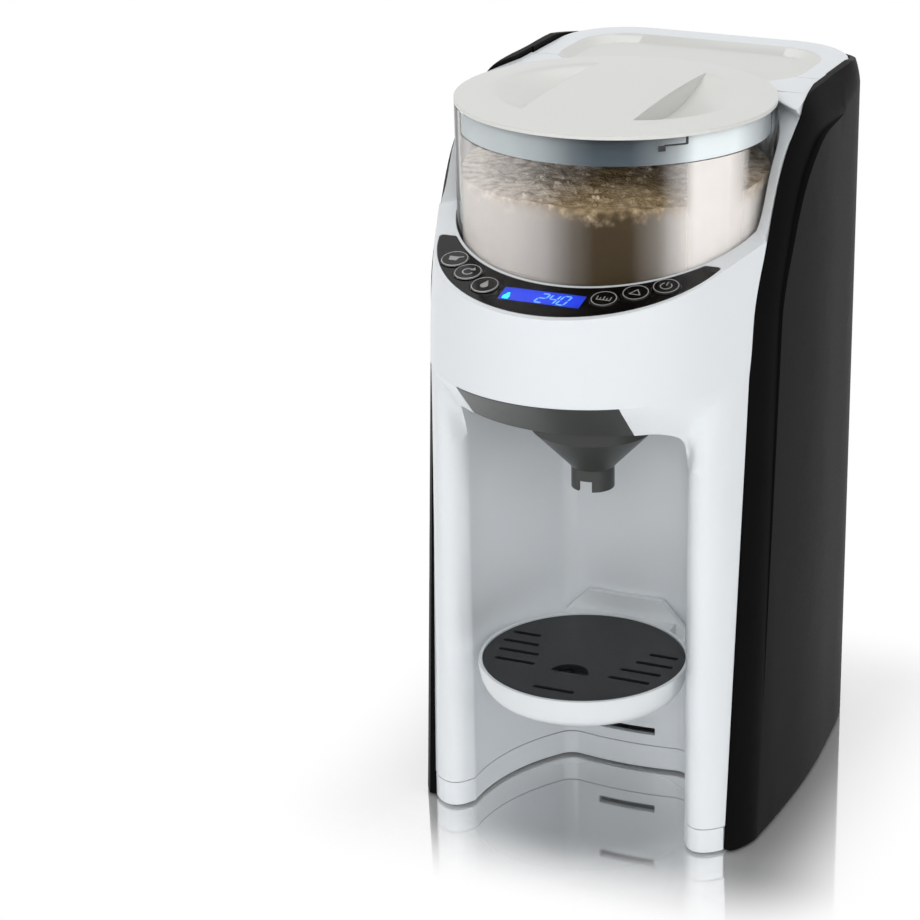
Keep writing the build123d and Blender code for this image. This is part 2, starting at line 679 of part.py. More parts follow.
def side_panel():
    """The right-hand black cover, hollow inside, wrapped round the rear corner."""
    body = panel_slab(0, PANEL_X, PANEL_BEVEL_X[0])
    sections = [
        Plane.YZ * Pos(0, 0, x) * panel_face(inset) for x, inset in zip(PANEL_BEVEL_X, PANEL_BEVEL_IN)
    ]
    body += loft(sections)
    body += panel_slab(PANEL_BEVEL_IN[-1], PANEL_BEVEL_X[-1], PANEL_BEVEL_X[-1] + 6)
    rear = block(PANEL_REAR_X, PANEL_X, TANK_FRONT_Y - 1, REAR_Y, FOOT_PROUD, RIM_Z)
    body = (body + rear) & prism(panel_plan(), 0, RIM_Z + 1)
    body &= rim_solid()
    drop = Polyline((104, RIM_Z), (104, RIM_Z + 2), (150, RIM_Z + 2), (150, RIM_Z - 6.5), close=True)
    body -= extrude(Plane.YZ * Pos(0, 0, PANEL_REAR_X - 1) * make_face(drop), 40)
    hollow = panel_slab(PANEL_BEVEL_IN[-1] + 3, PANEL_X - 20, 100)
    inner = panel_plan(PANEL_WALL) & Pos(0, 45) * Rectangle(300, 2 * (REAR_Y - PANEL_WALL - 45))
    inner -= Pos(PANEL_REAR_X, 110) * Rectangle(2 * PANEL_WALL, 200)
    rear_wall = Pos(0, TANK_FRONT_Y - 1) * Rectangle(400, 2 * PANEL_WALL)
    room = prism(inner - rear_wall, FOOT_PROUD + PANEL_WALL, SHELF_Z - PANEL_WALL)
    body -= room & hollow
    body -= shoulder_solid(GAP)
    body -= prism(top_face(GAP), SHELF_Z, RIM_Z + 20)
    for y, z in PANEL_PADS:
        body += block(PANEL_X - GAP, PANEL_X + 1, y, y + 10, z, z + 8)
    for z in (FOOT_PROUD + WALL, SHELF_TANK_Z):
        body += block(PANEL_REAR_X - GAP, PANEL_REAR_X + 1, 100, 110, z, z + 2.5)
    return body


# ---------------------------------------------------------------- control fascia
def control_fascia():
    body = prism(crescent(), 240, 300) & fascia_slab(-0.0, -FASCIA_T)
    for x, y in BUTTONS.values():
        body -= fascia_plane(x, y) * Cylinder(BUTTON_R + FIT, 12)
    body -= fascia_plane(*WINDOW_AT) * Box(WINDOW_SIZE[0] + 0.1, WINDOW_SIZE[1] + 0.1, 12)
    return body


def display_window():
    """The display: a lens flush with the fascia and its module behind the skin."""
    lens = at(0, 0, -FASCIA_T / 2, Box(*WINDOW_SIZE, FASCIA_T))
    neck = at(0, 0, -FASCIA_T - 2, Box(WINDOW_SIZE[0] - 3, WINDOW_SIZE[1] - 3, 4))
    return fascia_plane(*WINDOW_AT) * (lens + neck)


def button(x, y):
    """A sprung key: a slightly domed cap on a stem that reaches the board's switch."""
    low = -FASCIA_T + BUTTON_TRAVEL + 0.2
    cap = at(0, 0, (low + BUTTON_PROUD) / 2, Cylinder(BUTTON_R, BUTTON_PROUD - low))
    cap = fillet(cap.edges().sort_by(Axis.Z)[-1], 0.6)
    bottom = -BOARD_DROP + 2.0 + BUTTON_TRAVEL + 0.1
    stem = at(0, 0, (low + bottom) / 2, Cylinder(BUTTON_STEM_R, low - bottom))
    return fascia_plane(x, y) * (cap + stem)


def control_board():
    """The crescent circuit board under the fascia, with a switch under each key."""
    plan = Pos(0, FASCIA_CENTRE_Y) * Circle(FASCIA_R - 3.5) - Circle(BOWL_FOOT_R + SEAT_CLEAR + WALL + 0.8)
    plan = plan & Pos(0, -150 + FASCIA_TIP_Y - 9) * Rectangle(300, 300)
    body = prism(plan, 230, 290) & fascia_slab(-BOARD_DROP, -BOARD_DROP - 1.6)
    for x, y in BUTTONS.values():
        body += fascia_plane(x, y) * at(0, 0, -BOARD_DROP + 0.9, Box(5, 5, 2.0))
    return body


# ---------------------------------------------------------------- powder bowl
def powder_bowl():
    corner_out = BOWL_CORNER
    outer = turned(
        [
            (0, BOWL_BOTTOM),
            (BOWL_FOOT_R - corner_out, BOWL_BOTTOM),
            (BOWL_FOOT_R, BOWL_BOTTOM + corner_out),
            (BOWL_R, BOWL_TOP),
            (0, BOWL_TOP),
        ]
    )
    inner = turned(
        [
            (0, BOWL_BOTTOM + BOWL_FLOOR),
            (BOWL_FOOT_R - corner_out - 1, BOWL_BOTTOM + BOWL_FLOOR),
            (BOWL_FOOT_R - BOWL_WALL, BOWL_BOTTOM + corner_out + 1),
            (BOWL_R - BOWL_WALL, BOWL_TOP + 1),
            (0, BOWL_TOP + 1),
        ]
    )
    body = outer - inner
    body -= disc(OUTLET_R, BOWL_BOTTOM - 1, BOWL_BOTTOM + 4, 0, OUTLET_Y)
    body -= disc(SHAFT_R + RUN, BOWL_BOTTOM - 1, BOWL_BOTTOM + 4)
    return body


def lid_pocket(grow=0.0):
    """A finger recess: a round scoop cut off by the upright side of the grip."""
    near, far = POCKET_X, POCKET_OUTER_X
    centre_x = (far**2 - near**2 - POCKET_HALF_Y**2) / (2 * (far - near))
    rim = far - centre_x
    radius = (rim**2 + POCKET_DEPTH**2) / (2 * POCKET_DEPTH)
    edge_z = LID_EDGE_Z + LID_EDGE_T + LID_CROWN * (1 - (far / BOWL_R) ** 2)
    scoop = at(centre_x, 0, edge_z - POCKET_DEPTH + radius, Sphere(radius + grow))
    top = LID_EDGE_Z + LID_EDGE_T + LID_CROWN + 4
    return scoop & block(near - grow, far + 12, -60, 60, edge_z - POCKET_DEPTH - 5, top)


def lid_dome(lift):
    """The domed top skin as a solid below a shallow cap; lift lowers it for the underside."""
    edge = LID_EDGE_Z + LID_EDGE_T - lift
    rise = LID_CROWN
    radius = (BOWL_R**2 + rise**2) / (2 * rise)
    ball = at(0, 0, edge + rise - radius, Sphere(radius))
    return ball & disc(BOWL_R, LID_EDGE_Z - 30, edge + rise + 5)


def powder_lid():
    body = lid_dome(0) & disc(BOWL_R, LID_EDGE_Z, LID_EDGE_Z + 20)
    pockets = both_sides(lid_pocket())
    cups = both_sides(lid_pocket(LID_SKIN)) & disc(SKIRT_R - 1, SKIRT_Z, LID_EDGE_Z + 9) & lid_dome(0.4)
    under = lid_dome(LID_SKIN) & disc(SKIRT_R - SKIRT_T, LID_EDGE_Z - 1, LID_EDGE_Z + 20)
    body = body + cups - (under - cups) - pockets
    skirt = ring(SKIRT_R, SKIRT_R - SKIRT_T, SKIRT_Z, LID_EDGE_Z + 0.4)
    skirt -= ring(SKIRT_R + 1, SKIRT_R - 0.8, SKIRT_Z + 1.8, SKIRT_Z + 4.4)
    return body + skirt


def lid_seal():
    inner = SKIRT_R - 0.8 + RUN
    outer = BOWL_R - BOWL_WALL - 0.25
    return ring(outer, inner, SKIRT_Z + 1.9, SKIRT_Z + 4.3)


def mixing_wheel():
    """The metering wheel on the bowl's floor: a hub, curved vanes and a rim, on a keyed stub."""
    low, high = WHEEL_Z, WHEEL_Z + WHEEL_H
    body = disc(10, BOWL_BOTTOM + BOWL_FLOOR, high + 6)
    for k in range(WHEEL_VANES):
        blade = Pos(WHEEL_R / 2 + 3, 0) * Rectangle(WHEEL_R - 8, 2.4)
        body += Rot(0, 0, k * 360 / WHEEL_VANES) * prism(blade, low, high)
    body += ring(WHEEL_R, WHEEL_R - 2.4, low, high)
    stub = disc(SHAFT_R, BOWL_BOTTOM - 3.0, low + 1)
    key = block(-SHAFT_R - 1, SHAFT_R + 1, -1, 1, BOWL_BOTTOM - 3.2, BOWL_BOTTOM - 0.8)
    return body + (stub - key)


def powder_scraper():
    """A fixed blade over the outlet, clipped to the bowl's wall."""
    z = WHEEL_Z + WHEEL_H + 0.6
    reach = BOWL_FOOT_R - BOWL_WALL
    blade = disc(reach, z, z + 2) - disc(11.5, z - 1, z + 3)
    wedge = make_face(Polyline((0, 4), (-26, -80), (26, -80), close=True))
    body = blade & prism(wedge, z - 1, z + 10)
    upright = ring(reach, reach - 2, z, z + 14) & block(-9, 9, -90, 0, z - 1, z + 20)
    return body + upright


# ---------------------------------------------------------------- metering drive
def toothed(teeth, low, high, phase=0.0):
    """A spur gear with straight-flanked teeth, one tooth at the phase angle."""
    pitch = MODULE * teeth / 2
    root, tip = pitch - 1.2 * MODULE, pitch + 0.9 * MODULE
    step = 2 * pi / teeth
    points = []
    for k in range(teeth):
        centre = k * step + radians(phase)
        for radius, share in ((root, -0.29), (tip, -0.13), (tip, 0.13), (root, 0.29)):
            angle = centre + share * step
            points.append((radius * cos(angle), radius * sin(angle)))
    return prism(make_face(Polyline(*points, close=True)), low, high)


def gear_distance():
    return MODULE * (GEAR_TEETH + PINION_TEETH) / 2


def drive_shaft():
    body = disc(SHAFT_R, PLATE_Z - 6, BOWL_BOTTOM - 3.4)
    key = block(-SHAFT_R + 0.4, SHAFT_R - 0.4, -0.8, 0.8, BOWL_BOTTOM - 3.4, BOWL_BOTTOM - 1.2)
    return body + key


def drive_gear():
    hub = disc(6.5, PLATE_Z + PLATE_T, GEAR_Z + GEAR_T + 2)
    body = toothed(GEAR_TEETH, GEAR_Z, GEAR_Z + GEAR_T) + hub
    return body - disc(SHAFT_R, GEAR_Z - 5, GEAR_Z + 20)


def motor_pinion():
    phase = 180.0 / PINION_TEETH
    body = toothed(PINION_TEETH, GEAR_Z - 1, GEAR_Z + GEAR_T + 1, phase)
    shaft = disc(PINION_SHAFT_R, PLATE_Z - PINION_SHAFT_IN, GEAR_Z)
    return at(0, gear_distance(), 0, body + shaft)


def gear_motor():
    """A flat gearbox under the plate with its motor lying behind."""
    y = gear_distance()
    box = block(-16, 16, y - 8, y + 22, PLATE_Z - 17, PLATE_Z)
    box = fillet(box.edges().filter_by(Axis.Z), 3)
    motor = Pos(0, y + 22 + 11, PLATE_Z - 11.5) * Rot(90, 0, 0) * Cylinder(11, 22)
    return box + motor - disc(PINION_SHAFT_R + RUN, PLATE_Z - PINION_SHAFT_IN, PLATE_Z + 1, 0, y)


def gear_plate():
    """The plate that carries gearbox and shaft, hung from the bowl's seat on four posts."""
    y = gear_distance()
    plate = block(-34, 34, -16, y + 26, PLATE_Z, PLATE_Z + PLATE_T)
    plate = fillet(plate.edges().filter_by(Axis.Z), 5)
    for x in (-29, 29):
        for post_y in (-11, y + 20):
            plate += disc(3.5, PLATE_Z + PLATE_T - 0.5, SEAT_Z - SEAT_T, x, post_y)
    plate += ring(7, SHAFT_R + RUN, PLATE_Z - 4, PLATE_Z + 1)
    plate -= disc(SHAFT_R + RUN, PLATE_Z - 6, PLATE_Z + 4)
    return plate - disc(3, PLATE_Z - 1, PLATE_Z + 4, 0, y)


def powder_chute():
    top = SEAT_Z - SEAT_T
    tube = ring(OUTLET_R + 1.6, OUTLET_R + 0.2, DRAWER_LOW_Z + 4, top, 0, OUTLET_Y)
    return tube + ring(OUTLET_R + 4.5, OUTLET_R + 0.2, top - 1.6, top, 0, OUTLET_Y)


def water_spout():
    """The hot water outlet beside the chute, pointing down into the funnel."""
    x, y = SPOUT
    body = ring(HOSE_R, HOSE_BORE, DRAWER_LOW_Z + 0.8, SPOUT_TOP, x, y)
    # its bracket reaches out to the ceiling beside the drawer's opening
    z = CEILING_Z + CEILING_T
    arm = block(x, DRAWER_HALF + 8, y - 4, y + 4, z + 2.0, z + 4.0)
    foot = block(DRAWER_HALF + 2, DRAWER_HALF + 8, y - 4, y + 4, z, z + 3.0)
    return body + ((arm + foot) - disc(HOSE_BORE, z - 5, z + 10, x, y))


# ---------------------------------------------------------------- funnel drawer
def slanted(shift, plan_grow, low):
    """The drawer's plan cut off in front by the head's slanted face, moved back by shift."""
    face = head_face(BROW_Z, BROW_R, BROW_Y, BROW_SIDE)
    drop = BROW_Z - low
    solid = extrude(Pos(0, shift, 0) * face, drop * sqrt(2), dir=(0, 1, -1))
    return solid & prism(drawer_face(plan_grow), low, BROW_Z)


def funnel_drawer():
    """A slanted front plate, flush with the head, and the narrower tray that carries the funnel."""
    floor, wall = DRAWER_FLOOR_Z, DRAWER_WALL
    step_y, step_z = DRAWER_STEP
    plate = slanted(0.2, 0, step_z) - slanted(0.2 + 1.6 * wall, 1, step_z - 1)
    plate &= block(-90, 90, FRONT_Y - 10, DRAWER_FRONT_Y, 0, 300)
    tray = prism(drawer_face(-DRAWER_IN), floor, DRAWER_LOW_Z) & block(-90, 90, DRAWER_FRONT_Y - 6, 90, 0, 300)
    tray = tray & (slanted(2, 0, floor) + block(-90, 90, DRAWER_FRONT_Y + 2, 90, 0, 300))
    hollow = prism(drawer_face(-DRAWER_IN - wall), floor + wall, BROW_Z) & block(
        -90, 90, DRAWER_FRONT_Y, 90, 0, 300)
    hollow -= block(-90, 90, FRONT_Y - 10, step_y + wall, 0, step_z + wall)
    body = plate + (tray - hollow - block(-90, 90, FRONT_Y - 10, step_y, 0, step_z))
    rib = prism(drawer_face(RIB[0] - DRAWER_IN) - drawer_face(-0.4 - DRAWER_IN), RIB_Z, RIB_Z + RIB[1])
    body += rib & block(-90, 90, -66, OUTLET_Y, 0, 300)
    return body - disc(FUNNEL_R + 0.4, 190, 215, 0, OUTLET_Y)


def funnel():
    """The mixing funnel: a rim that hangs in the drawer, a cone and a notched nozzle."""
    floor = DRAWER_FLOOR_Z
    outer = [
        (0, NOZZLE_Z), (NOZZLE_R, NOZZLE_Z), (NOZZLE_R, FUNNEL_NECK_Z - 3), (FUNNEL_NECK_R, FUNNEL_NECK_Z),
        (FUNNEL_R, floor - 13.5), (FUNNEL_R, floor + DRAWER_WALL), (FUNNEL_R + 3.4, floor + DRAWER_WALL),
        (FUNNEL_R + 3.4, floor + 4.4), (0, floor + 4.4),
    ]
    wall = FUNNEL_WALL
    inner = [
        (0, NOZZLE_Z - 1), (NOZZLE_R - wall, NOZZLE_Z - 1), (NOZZLE_R - wall, FUNNEL_NECK_Z - 2),
        (FUNNEL_NECK_R - wall, FUNNEL_NECK_Z + 1), (FUNNEL_R - wall, floor - 12.7), (FUNNEL_R - wall, floor + 6),
        (0, floor + 6),
    ]
    body = turned(outer) - turned(inner)
    notch = block(-3.2, 3.2, -NOZZLE_R - 2, 0, NOZZLE_Z - 1, NOZZLE_Z + 5)
    return at(0, OUTLET_Y, 0, body - notch)


def funnel_cover():
    """The funnel's splash cover, with a mouth for powder and one for water."""
    floor = DRAWER_FLOOR_Z + 4.4
    body = disc(FUNNEL_R + 3.0, floor, floor + 1.6, 0, OUTLET_Y)
    body -= disc(OUTLET_R + 1, floor - 1, floor + 3, 0, OUTLET_Y)
    return body - disc(HOSE_R + 1.4, floor - 1, floor + 3, *SPOUT)


# ---------------------------------------------------------------- tray
def tray_outside():
    return turned(
        [
            (0, TRAY_BOTTOM), (TRAY_R - 8.6, TRAY_BOTTOM), (TRAY_R - 5, TRAY_BOTTOM + 1.4),
            (TRAY_R - 2.6, TRAY_BOTTOM + 4.2), (TRAY_R - 1, TRAY_BOTTOM + 8), (TRAY_R, TRAY_TOP - 2),
            (TRAY_R - 0.3, TRAY_TOP), (0, TRAY_TOP),
        ]
    )


def tray_body():
    """A shallow drip bowl with a rebate for the slotted cover."""
    seat_z = TRAY_TOP - GRATE_T - 0.6
    well = turned(
        [
            (0, TRAY_BOTTOM + 2.2), (TRAY_R - 10, TRAY_BOTTOM + 2.2), (TRAY_R - 6.4, TRAY_BOTTOM + 3.6),
            (TRAY_R - 3.6, TRAY_BOTTOM + 7.2), (TRAY_R - 3.6, seat_z + 1), (0, seat_z + 1),
        ]
    )
    body = tray_outside() - well - disc(TRAY_R - TRAY_WALL, seat_z, TRAY_TOP + 1)
    return at(0, TRAY_Y, 0, body)


def grate_slots():
    """Short parallel slots in two fans beside the finger hole, and one in front."""
    slots = []
    edge = TRAY_R - TRAY_WALL - 2.85
    for row, (x0, x1) in enumerate(((18, 38), (20, 40), (24, 42), (27, 41))):
        y = -15 + row * 9.5
        x1 = min(x1, sqrt(edge**2 - (abs(y) + 1.3) ** 2))
        for sign in (-1, 1):
            slots.append((sign * (x0 + x1) / 2, y, x1 - x0))
    slots.append((0, 12.4 - TRAY_R, 20))
    return slots


def tray_grate():
    top = TRAY_TOP - 0.6
    body = disc(TRAY_R - TRAY_WALL - 0.35, top - GRATE_T, top)
    for x, y, length in grate_slots():
        slot = Pos(x, y) * SlotOverall(length, 2.6)
        body -= prism(slot, top - 5, top + 1)
    finger = Pos(0, -18) * Circle(9) - Pos(0, -27) * Rectangle(30, 18)
    body -= prism(finger, top - 5, top + 1)
    return at(0, TRAY_Y, 0, body)


def tray_bracket():
    """The arm behind the tray: a raised back plate and a hook through the bay wall's slot."""
    plate_y = BAY_BACK_Y - BAY_BACK_BULGE - 3.2
    face = Plane.XZ * make_face(
        Polyline((-31, TRAY_BOTTOM + 5), (31, TRAY_BOTTOM + 5), (31, 79), (19, 92), (-19, 92), (-31, 79), close=True)
    )
    plate = at(0, plate_y + 3.0, 0, extrude(face, 3.0))
    arm_y = TRAY_Y + TRAY_R * 0.72
    arm = block(-26, 26, arm_y, plate_y + 1, TRAY_BOTTOM + 4, TRAY_TOP - 1.0)
    z = SLOT_ZS[2]
    hook = block(HOOK_X[0], HOOK_X[1], plate_y + 1, BAY_BACK_Y + WALL + HOOK_PAST, z, z + SLOT_H - FIT)
    return plate + (arm - at(0, TRAY_Y, 0, tray_outside())) + both_sides(hook)


# ---------------------------------------------------------------- water side
def tank_face(inset=0.0):
    half = TANK_HALF_X - inset
    y0, y1 = TANK_FRONT_Y + inset, TANK_REAR_Y - inset
    face = Pos(0, (y0 + y1) / 2) * Rectangle(2 * half, y1 - y0)
    face &= back_face(REAR_Y - TANK_REAR_Y + inset)
    front = [v for v in face.vertices() if v.Y < y0 + 1]
    face = fillet(front, TANK_CORNER - inset)
    corners = [v for v in face.vertices() if abs(v.X) > half - 0.1 and v.Y > y0 + 20]
    return fillet(corners, TANK_CORNER - 3 - inset)


def water_tank():
    body = prism(tank_face(), TANK_BOTTOM, TANK_TOP) - prism(tank_face(TANK_WALL), TANK_BOTTOM + 3, TANK_TOP + 1)
    body += disc(PORT_R, TANK_BOTTOM + 1, TANK_BOTTOM + 8, 0, PORT_Y)
    body -= disc(PORT_R - 3, TANK_BOTTOM - 1, TANK_BOTTOM + 9, 0, PORT_Y)
    return body


def tank_valve():
    """The tank's spring poppet, held open by the port below it."""
    body = disc(2.0, TANK_BOTTOM + 0.4, TANK_BOTTOM + 12, 0, PORT_Y)
    return body + disc(PORT_R - 1, TANK_BOTTOM + 9, TANK_BOTTOM + 12, 0, PORT_Y)


def tank_port():
    """The docking port in the shelf, with its pin and hose nipple."""
    z = SHELF_TANK_Z
    body = ring(PORT_R + 4, 3, z - 6, z + 3.4, 0, PORT_Y)
    body += ring(4.4, 3, z - 16, z - 5, 0, PORT_Y)
    pin = disc(1.2, z - 5, TANK_BOTTOM - 0.8) + block(-3.5, 3.5, -0.6, 0.6, z - 5, z - 3)
    return body + at(0, PORT_Y, 0, pin)


def port_seal():
    return ring(PORT_R - 1.5, PORT_R - 4, SHELF_TANK_Z + 3.4, TANK_BOTTOM, 0, PORT_Y)


def water_tank_lid():
    rear = top_face() & Pos(0, LID_SEAM_Y + 100) * Rectangle(400, 200)
    body = prism(rear, SHELF_Z + GAP, DECK_Z)
    body = fillet(body.edges().group_by(Axis.Z)[-1].filter_by(lambda e: e.center().Y > LID_SEAM_Y + 1), 1.2)
    body -= dish()
    inner = prism(offset(rear, -WALL), SHELF_Z - 1, DECK_Z - DISH_DEPTH - WALL)
    body -= inner
    skirt = prism(tank_face(TANK_WALL + FIT), TANK_TOP - 5, DECK_Z - DISH_DEPTH - WALL + 1)
    skirt -= prism(tank_face(TANK_WALL + FIT + 1.8), TANK_TOP - 6, DECK_Z)
    return body + skirt


def inner_frame():
    """The moulded frame: a wall in front of the tank and the shelf that carries it."""
    half = PANEL_REAR_X - GAP
    wall = block(-half, half, FRAME_Y, FRAME_Y + FRAME_T, SEAM_Z + GAP, SHELF_Z - 2)
    shelf = block(-half, half, FRAME_Y, REAR_Y - 3.4, SHELF_TANK_Z, SHELF_TANK_Z + 2.6)
    for x, y in FRAME_SCREWS:
        shelf += block(x - 1.2, x + 1.2, FRAME_Y, TANK_REAR_Y - 5, SEAM_Z + GAP, SHELF_TANK_Z + 1)
        shelf += disc(BOSS_R, SEAM_Z, SEAM_Z + SCREW_REACH + 4, x, y)
        shelf -= disc(SCREW_R - 0.1, SEAM_Z - 1, SEAM_Z + SCREW_REACH + 0.4, x, y)
    for x in (-40, 40):
        for y in (88, 130):
            shelf += block(x - 6, x + 6, y - 3, y + 3, SHELF_TANK_Z + 2, TANK_BOTTOM)
    body = (wall + shelf) & prism(back_face(3.4), 0, RIM_Z)
    body -= disc(PORT_R + 4, SHELF_TANK_Z - 1, SHELF_TANK_Z + 4, 0, PORT_Y)
    return body - block(-8, 8, FRAME_Y - 1, FRAME_Y + 4, TANK_HOSE_Z - 8, TANK_HOSE_Z + 8)


def rear_cover():
    """The cover under the tank's back, with vents and the mains inlet's opening."""
    half = PANEL_REAR_X - GAP
    body = prism(back_face() - back_face(3.4), SEAM_Z + GAP, TANK_BOTTOM - 0.8)
    body &= block(-half, half, BACK_CENTRE[1], REAR_Y, 0, 100)
    for k in range(9):
        body -= block(-46 + k * 6, -43 + k * 6, REAR_Y - 9, REAR_Y + 1, 24, 48)
    return body - block(INLET_X - 12, INLET_X + 12, REAR_Y - 9, REAR_Y + 1, INLET_Z - 8, INLET_Z + 8)


INLET_X = 32.0
INLET_Z = 34.0


def power_inlet():
    """A two-pin mains inlet: a shrouded well with its pins."""
    y0, y1 = REAR_Y - 21, REAR_Y - 1.0
    body = block(INLET_X - 12, INLET_X + 12, y0, y1, INLET_Z - 8, INLET_Z + 8)
    well = Plane.XZ * Pos(INLET_X, INLET_Z) * SlotOverall(18.4, 9.4)
    body -= at(0, REAR_Y, 0, extrude(well, 16))
    for side in (-1, 1):
        pin = Pos(INLET_X + side * 4.35, REAR_Y - 11, INLET_Z) * Rot(90, 0, 0) * Cylinder(1.2, 14)
        body += pin
    return body


def power_board():
    """The supply board beneath the tank: board, transformer and capacitors."""
    z = SEAM_Z + 5
    body = block(-45, -8, 84, 134, z, z + 1.6)
    body += block(-43, -26, 92, 112, z + 1.5, z + 20)
    for y in (92, 106, 120):
        body += disc(4.5, z + 1.5, z + 14, -16, y)
    for x in (-38, -15):
        body += disc(3, FOOT_PROUD + WALL, z + 0.5, x, 89) + disc(3, FOOT_PROUD + WALL, z + 0.5, x, 129)
    return body


TANK_HOSE_Z = 26.0
HOSE_R = 3.0
HOSE_BORE = 2.0
PUMP = (-38.0, 45.0)
HEATER = (30.0, 45.0)
HEATER_Z = (70.0, 150.0)
HEATER_IN_Z = 106.0
SPOUT = (19.0, OUTLET_Y + 4)
SPOUT_TOP = 221.0
SPOUT_HOSE_Z = 231.0


def water_pump():
    """A round pump on a pad, with its inlet on the side and its outlet on top."""
    x, y = PUMP
    low = FOOT_PROUD + WALL
    body = disc(15, low + 8, low + 48, x, y) + block(x - 18, x + 18, y - 18, y + 18, low, low + 9)
    body += ring(HOSE_BORE, HOSE_BORE - 0.7, low + 47, low + 60, x, y)
    inlet = Pos(x + 15, y, TANK_HOSE_Z) * Rot(0, 90, 0) * Cylinder(HOSE_BORE, 11)
    return body + inlet


def water_heater():
    """The finned heater block, held on the frame by two brackets."""
    x, y = HEATER
    low, high = HEATER_Z
    body = block(x - 16, x + 16, y - 15, y + 15, low, high)
    body = fillet(body.edges().filter_by(Axis.Z), 6)
    for k in range(9):
        z = low + 8 + k * 7.5
        body -= ring(40, 14.2, z, z + 2.4, x, y)
    for z in (low + 3, high - 9):
        body += block(x - 8, x + 8, y + 10, FRAME_Y, z, z + 5)
    body += disc(HOSE_BORE, high - 1, high + 8, x, y)
    return body + Pos(x - 18, y, HEATER_IN_Z) * Rot(0, 90, 0) * Cylinder(HOSE_BORE, 12)


def hose(points, radii):
    """A hose on straight runs joined by tangent arcs."""
    path = FilletPolyline(*points, radius=radii)
    start = Plane(origin=path @ 0, z_dir=path % 0)
    section = start * (Circle(HOSE_R) - Circle(HOSE_BORE))
    return sweep(section, path=path)


def tank_hose():
    x, y = PUMP
    nipple = (0, PORT_Y, SHELF_TANK_Z - 16)
    points = [nipple, (0, PORT_Y, TANK_HOSE_Z), (0, y, TANK_HOSE_Z), (x + 15.5, y, TANK_HOSE_Z)]
    return hose(points, [11.0, 16.0])


def heater_hose():
    x, y = PUMP
    start = (x, y, FOOT_PROUD + WALL + 49)
    points = [start, (x, y, HEATER_IN_Z), (HEATER[0] - 16.5, HEATER[1], HEATER_IN_Z)]
    return hose(points, [22.0])


def spout_hose():
    x, y = HEATER
    start = (*SPOUT, SPOUT_TOP)
    points = [start, (*SPOUT, SPOUT_HOSE_Z), (x, y, SPOUT_HOSE_Z), (x, y, HEATER_Z[1] + 0.5)]
    return hose(points, [9.0, 22.0])


def screw(x, y):
    head = disc(SCREW_HEAD_R, FOOT_PROUD + 0.8, FOOT_PROUD + 3.2, x, y)
    head -= block(x - 2, x + 2, y - 0.4, y + 0.4, FOOT_PROUD, FOOT_PROUD + 1.8)
    return head + disc(SCREW_R - 0.1, FOOT_PROUD + 3.1, SEAM_Z + SCREW_REACH, x, y)


# ---------------------------------------------------------------- the pieces
def group(solids):
    """Equal fasteners or feet, kept together as one piece's worth of solids."""
    return Part() + list(solids)


def pieces():
    panel = side_panel()
    nodes = {
        "front_shell": front_shell(),
        "right_side_panel": panel,
        "left_side_panel": mirrored(panel),
        "base_plate": base_plate(),
        "rubber_feet": group(disc(FOOT_R, 0, FOOT_PROUD + FOOT_SUNK, x, y) for x, y in FEET),
        "control_fascia": control_fascia(),
        "display_window": display_window(),
        "control_board": control_board(),
        "powder_bowl": powder_bowl(),
        "powder_lid": powder_lid(),
        "lid_seal": lid_seal(),
        "mixing_wheel": mixing_wheel(),
        "powder_scraper": powder_scraper(),
        "drive_shaft": drive_shaft(),
        "drive_gear": drive_gear(),
        "motor_pinion": motor_pinion(),
        "gear_motor": gear_motor(),
        "gear_plate": gear_plate(),
        "powder_chute": powder_chute(),
        "water_spout": water_spout(),
        "funnel_drawer": funnel_drawer(),
        "funnel": funnel(),
        "funnel_cover": funnel_cover(),
        "tray_body": tray_body(),
        "tray_grate": tray_grate(),
        "tray_bracket": tray_bracket(),
        "water_tank": water_tank(),
        "water_tank_lid": water_tank_lid(),
        "tank_valve": tank_valve(),
        "tank_port": tank_port(),
        "port_seal": port_seal(),
        "inner_frame": inner_frame(),
        "rear_cover": rear_cover(),
        "power_inlet": power_inlet(),
        "power_board": power_board(),
        "water_pump": water_pump(),
        "water_heater": water_heater(),
        "tank_hose": tank_hose(),
        "heater_hose": heater_hose(),
        "spout_hose": spout_hose(),
        "housing_screws": group(screw(x, y) for x, y in SCREWS),
    }
    for name, (x, y) in BUTTONS.items():
        nodes[name] = button(x, y)
    return nodes


def main():
    os.makedirs("parts", exist_ok=True)
    middle = -(FRONT_Y + REAR_Y) / 2
    for name, shape in pieces().items():
        placed = Pos(0, middle, 0) * shape
        placed.label = name
        export_step(placed, os.path.join("parts", name + ".step"))


if __name__ == "__main__":
    main()
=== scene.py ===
"""Looks of a baby formula maker, laid out as an add-on: one operator for each piece or group of pieces."""

import math
import random

import bmesh
import bpy
from bpy.props import FloatProperty, FloatVectorProperty, IntProperty, PointerProperty
from mathutils import Matrix, Vector, noise


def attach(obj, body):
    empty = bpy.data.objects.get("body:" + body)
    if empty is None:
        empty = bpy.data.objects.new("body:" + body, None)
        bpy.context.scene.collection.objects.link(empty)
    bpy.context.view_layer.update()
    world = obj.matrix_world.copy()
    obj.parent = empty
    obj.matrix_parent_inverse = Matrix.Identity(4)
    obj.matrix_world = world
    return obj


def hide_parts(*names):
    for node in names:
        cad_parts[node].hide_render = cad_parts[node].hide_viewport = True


bl_info = {
    "name": "Formula Maker Looks",
    "version": (1, 0, 0),
    "blender": (4, 5, 0),
    "location": "View3D > Sidebar > Formula Maker",
    "description": "Models and finishes the pieces of a baby formula maker on its CAD frame",
    "category": "Add Mesh",
}

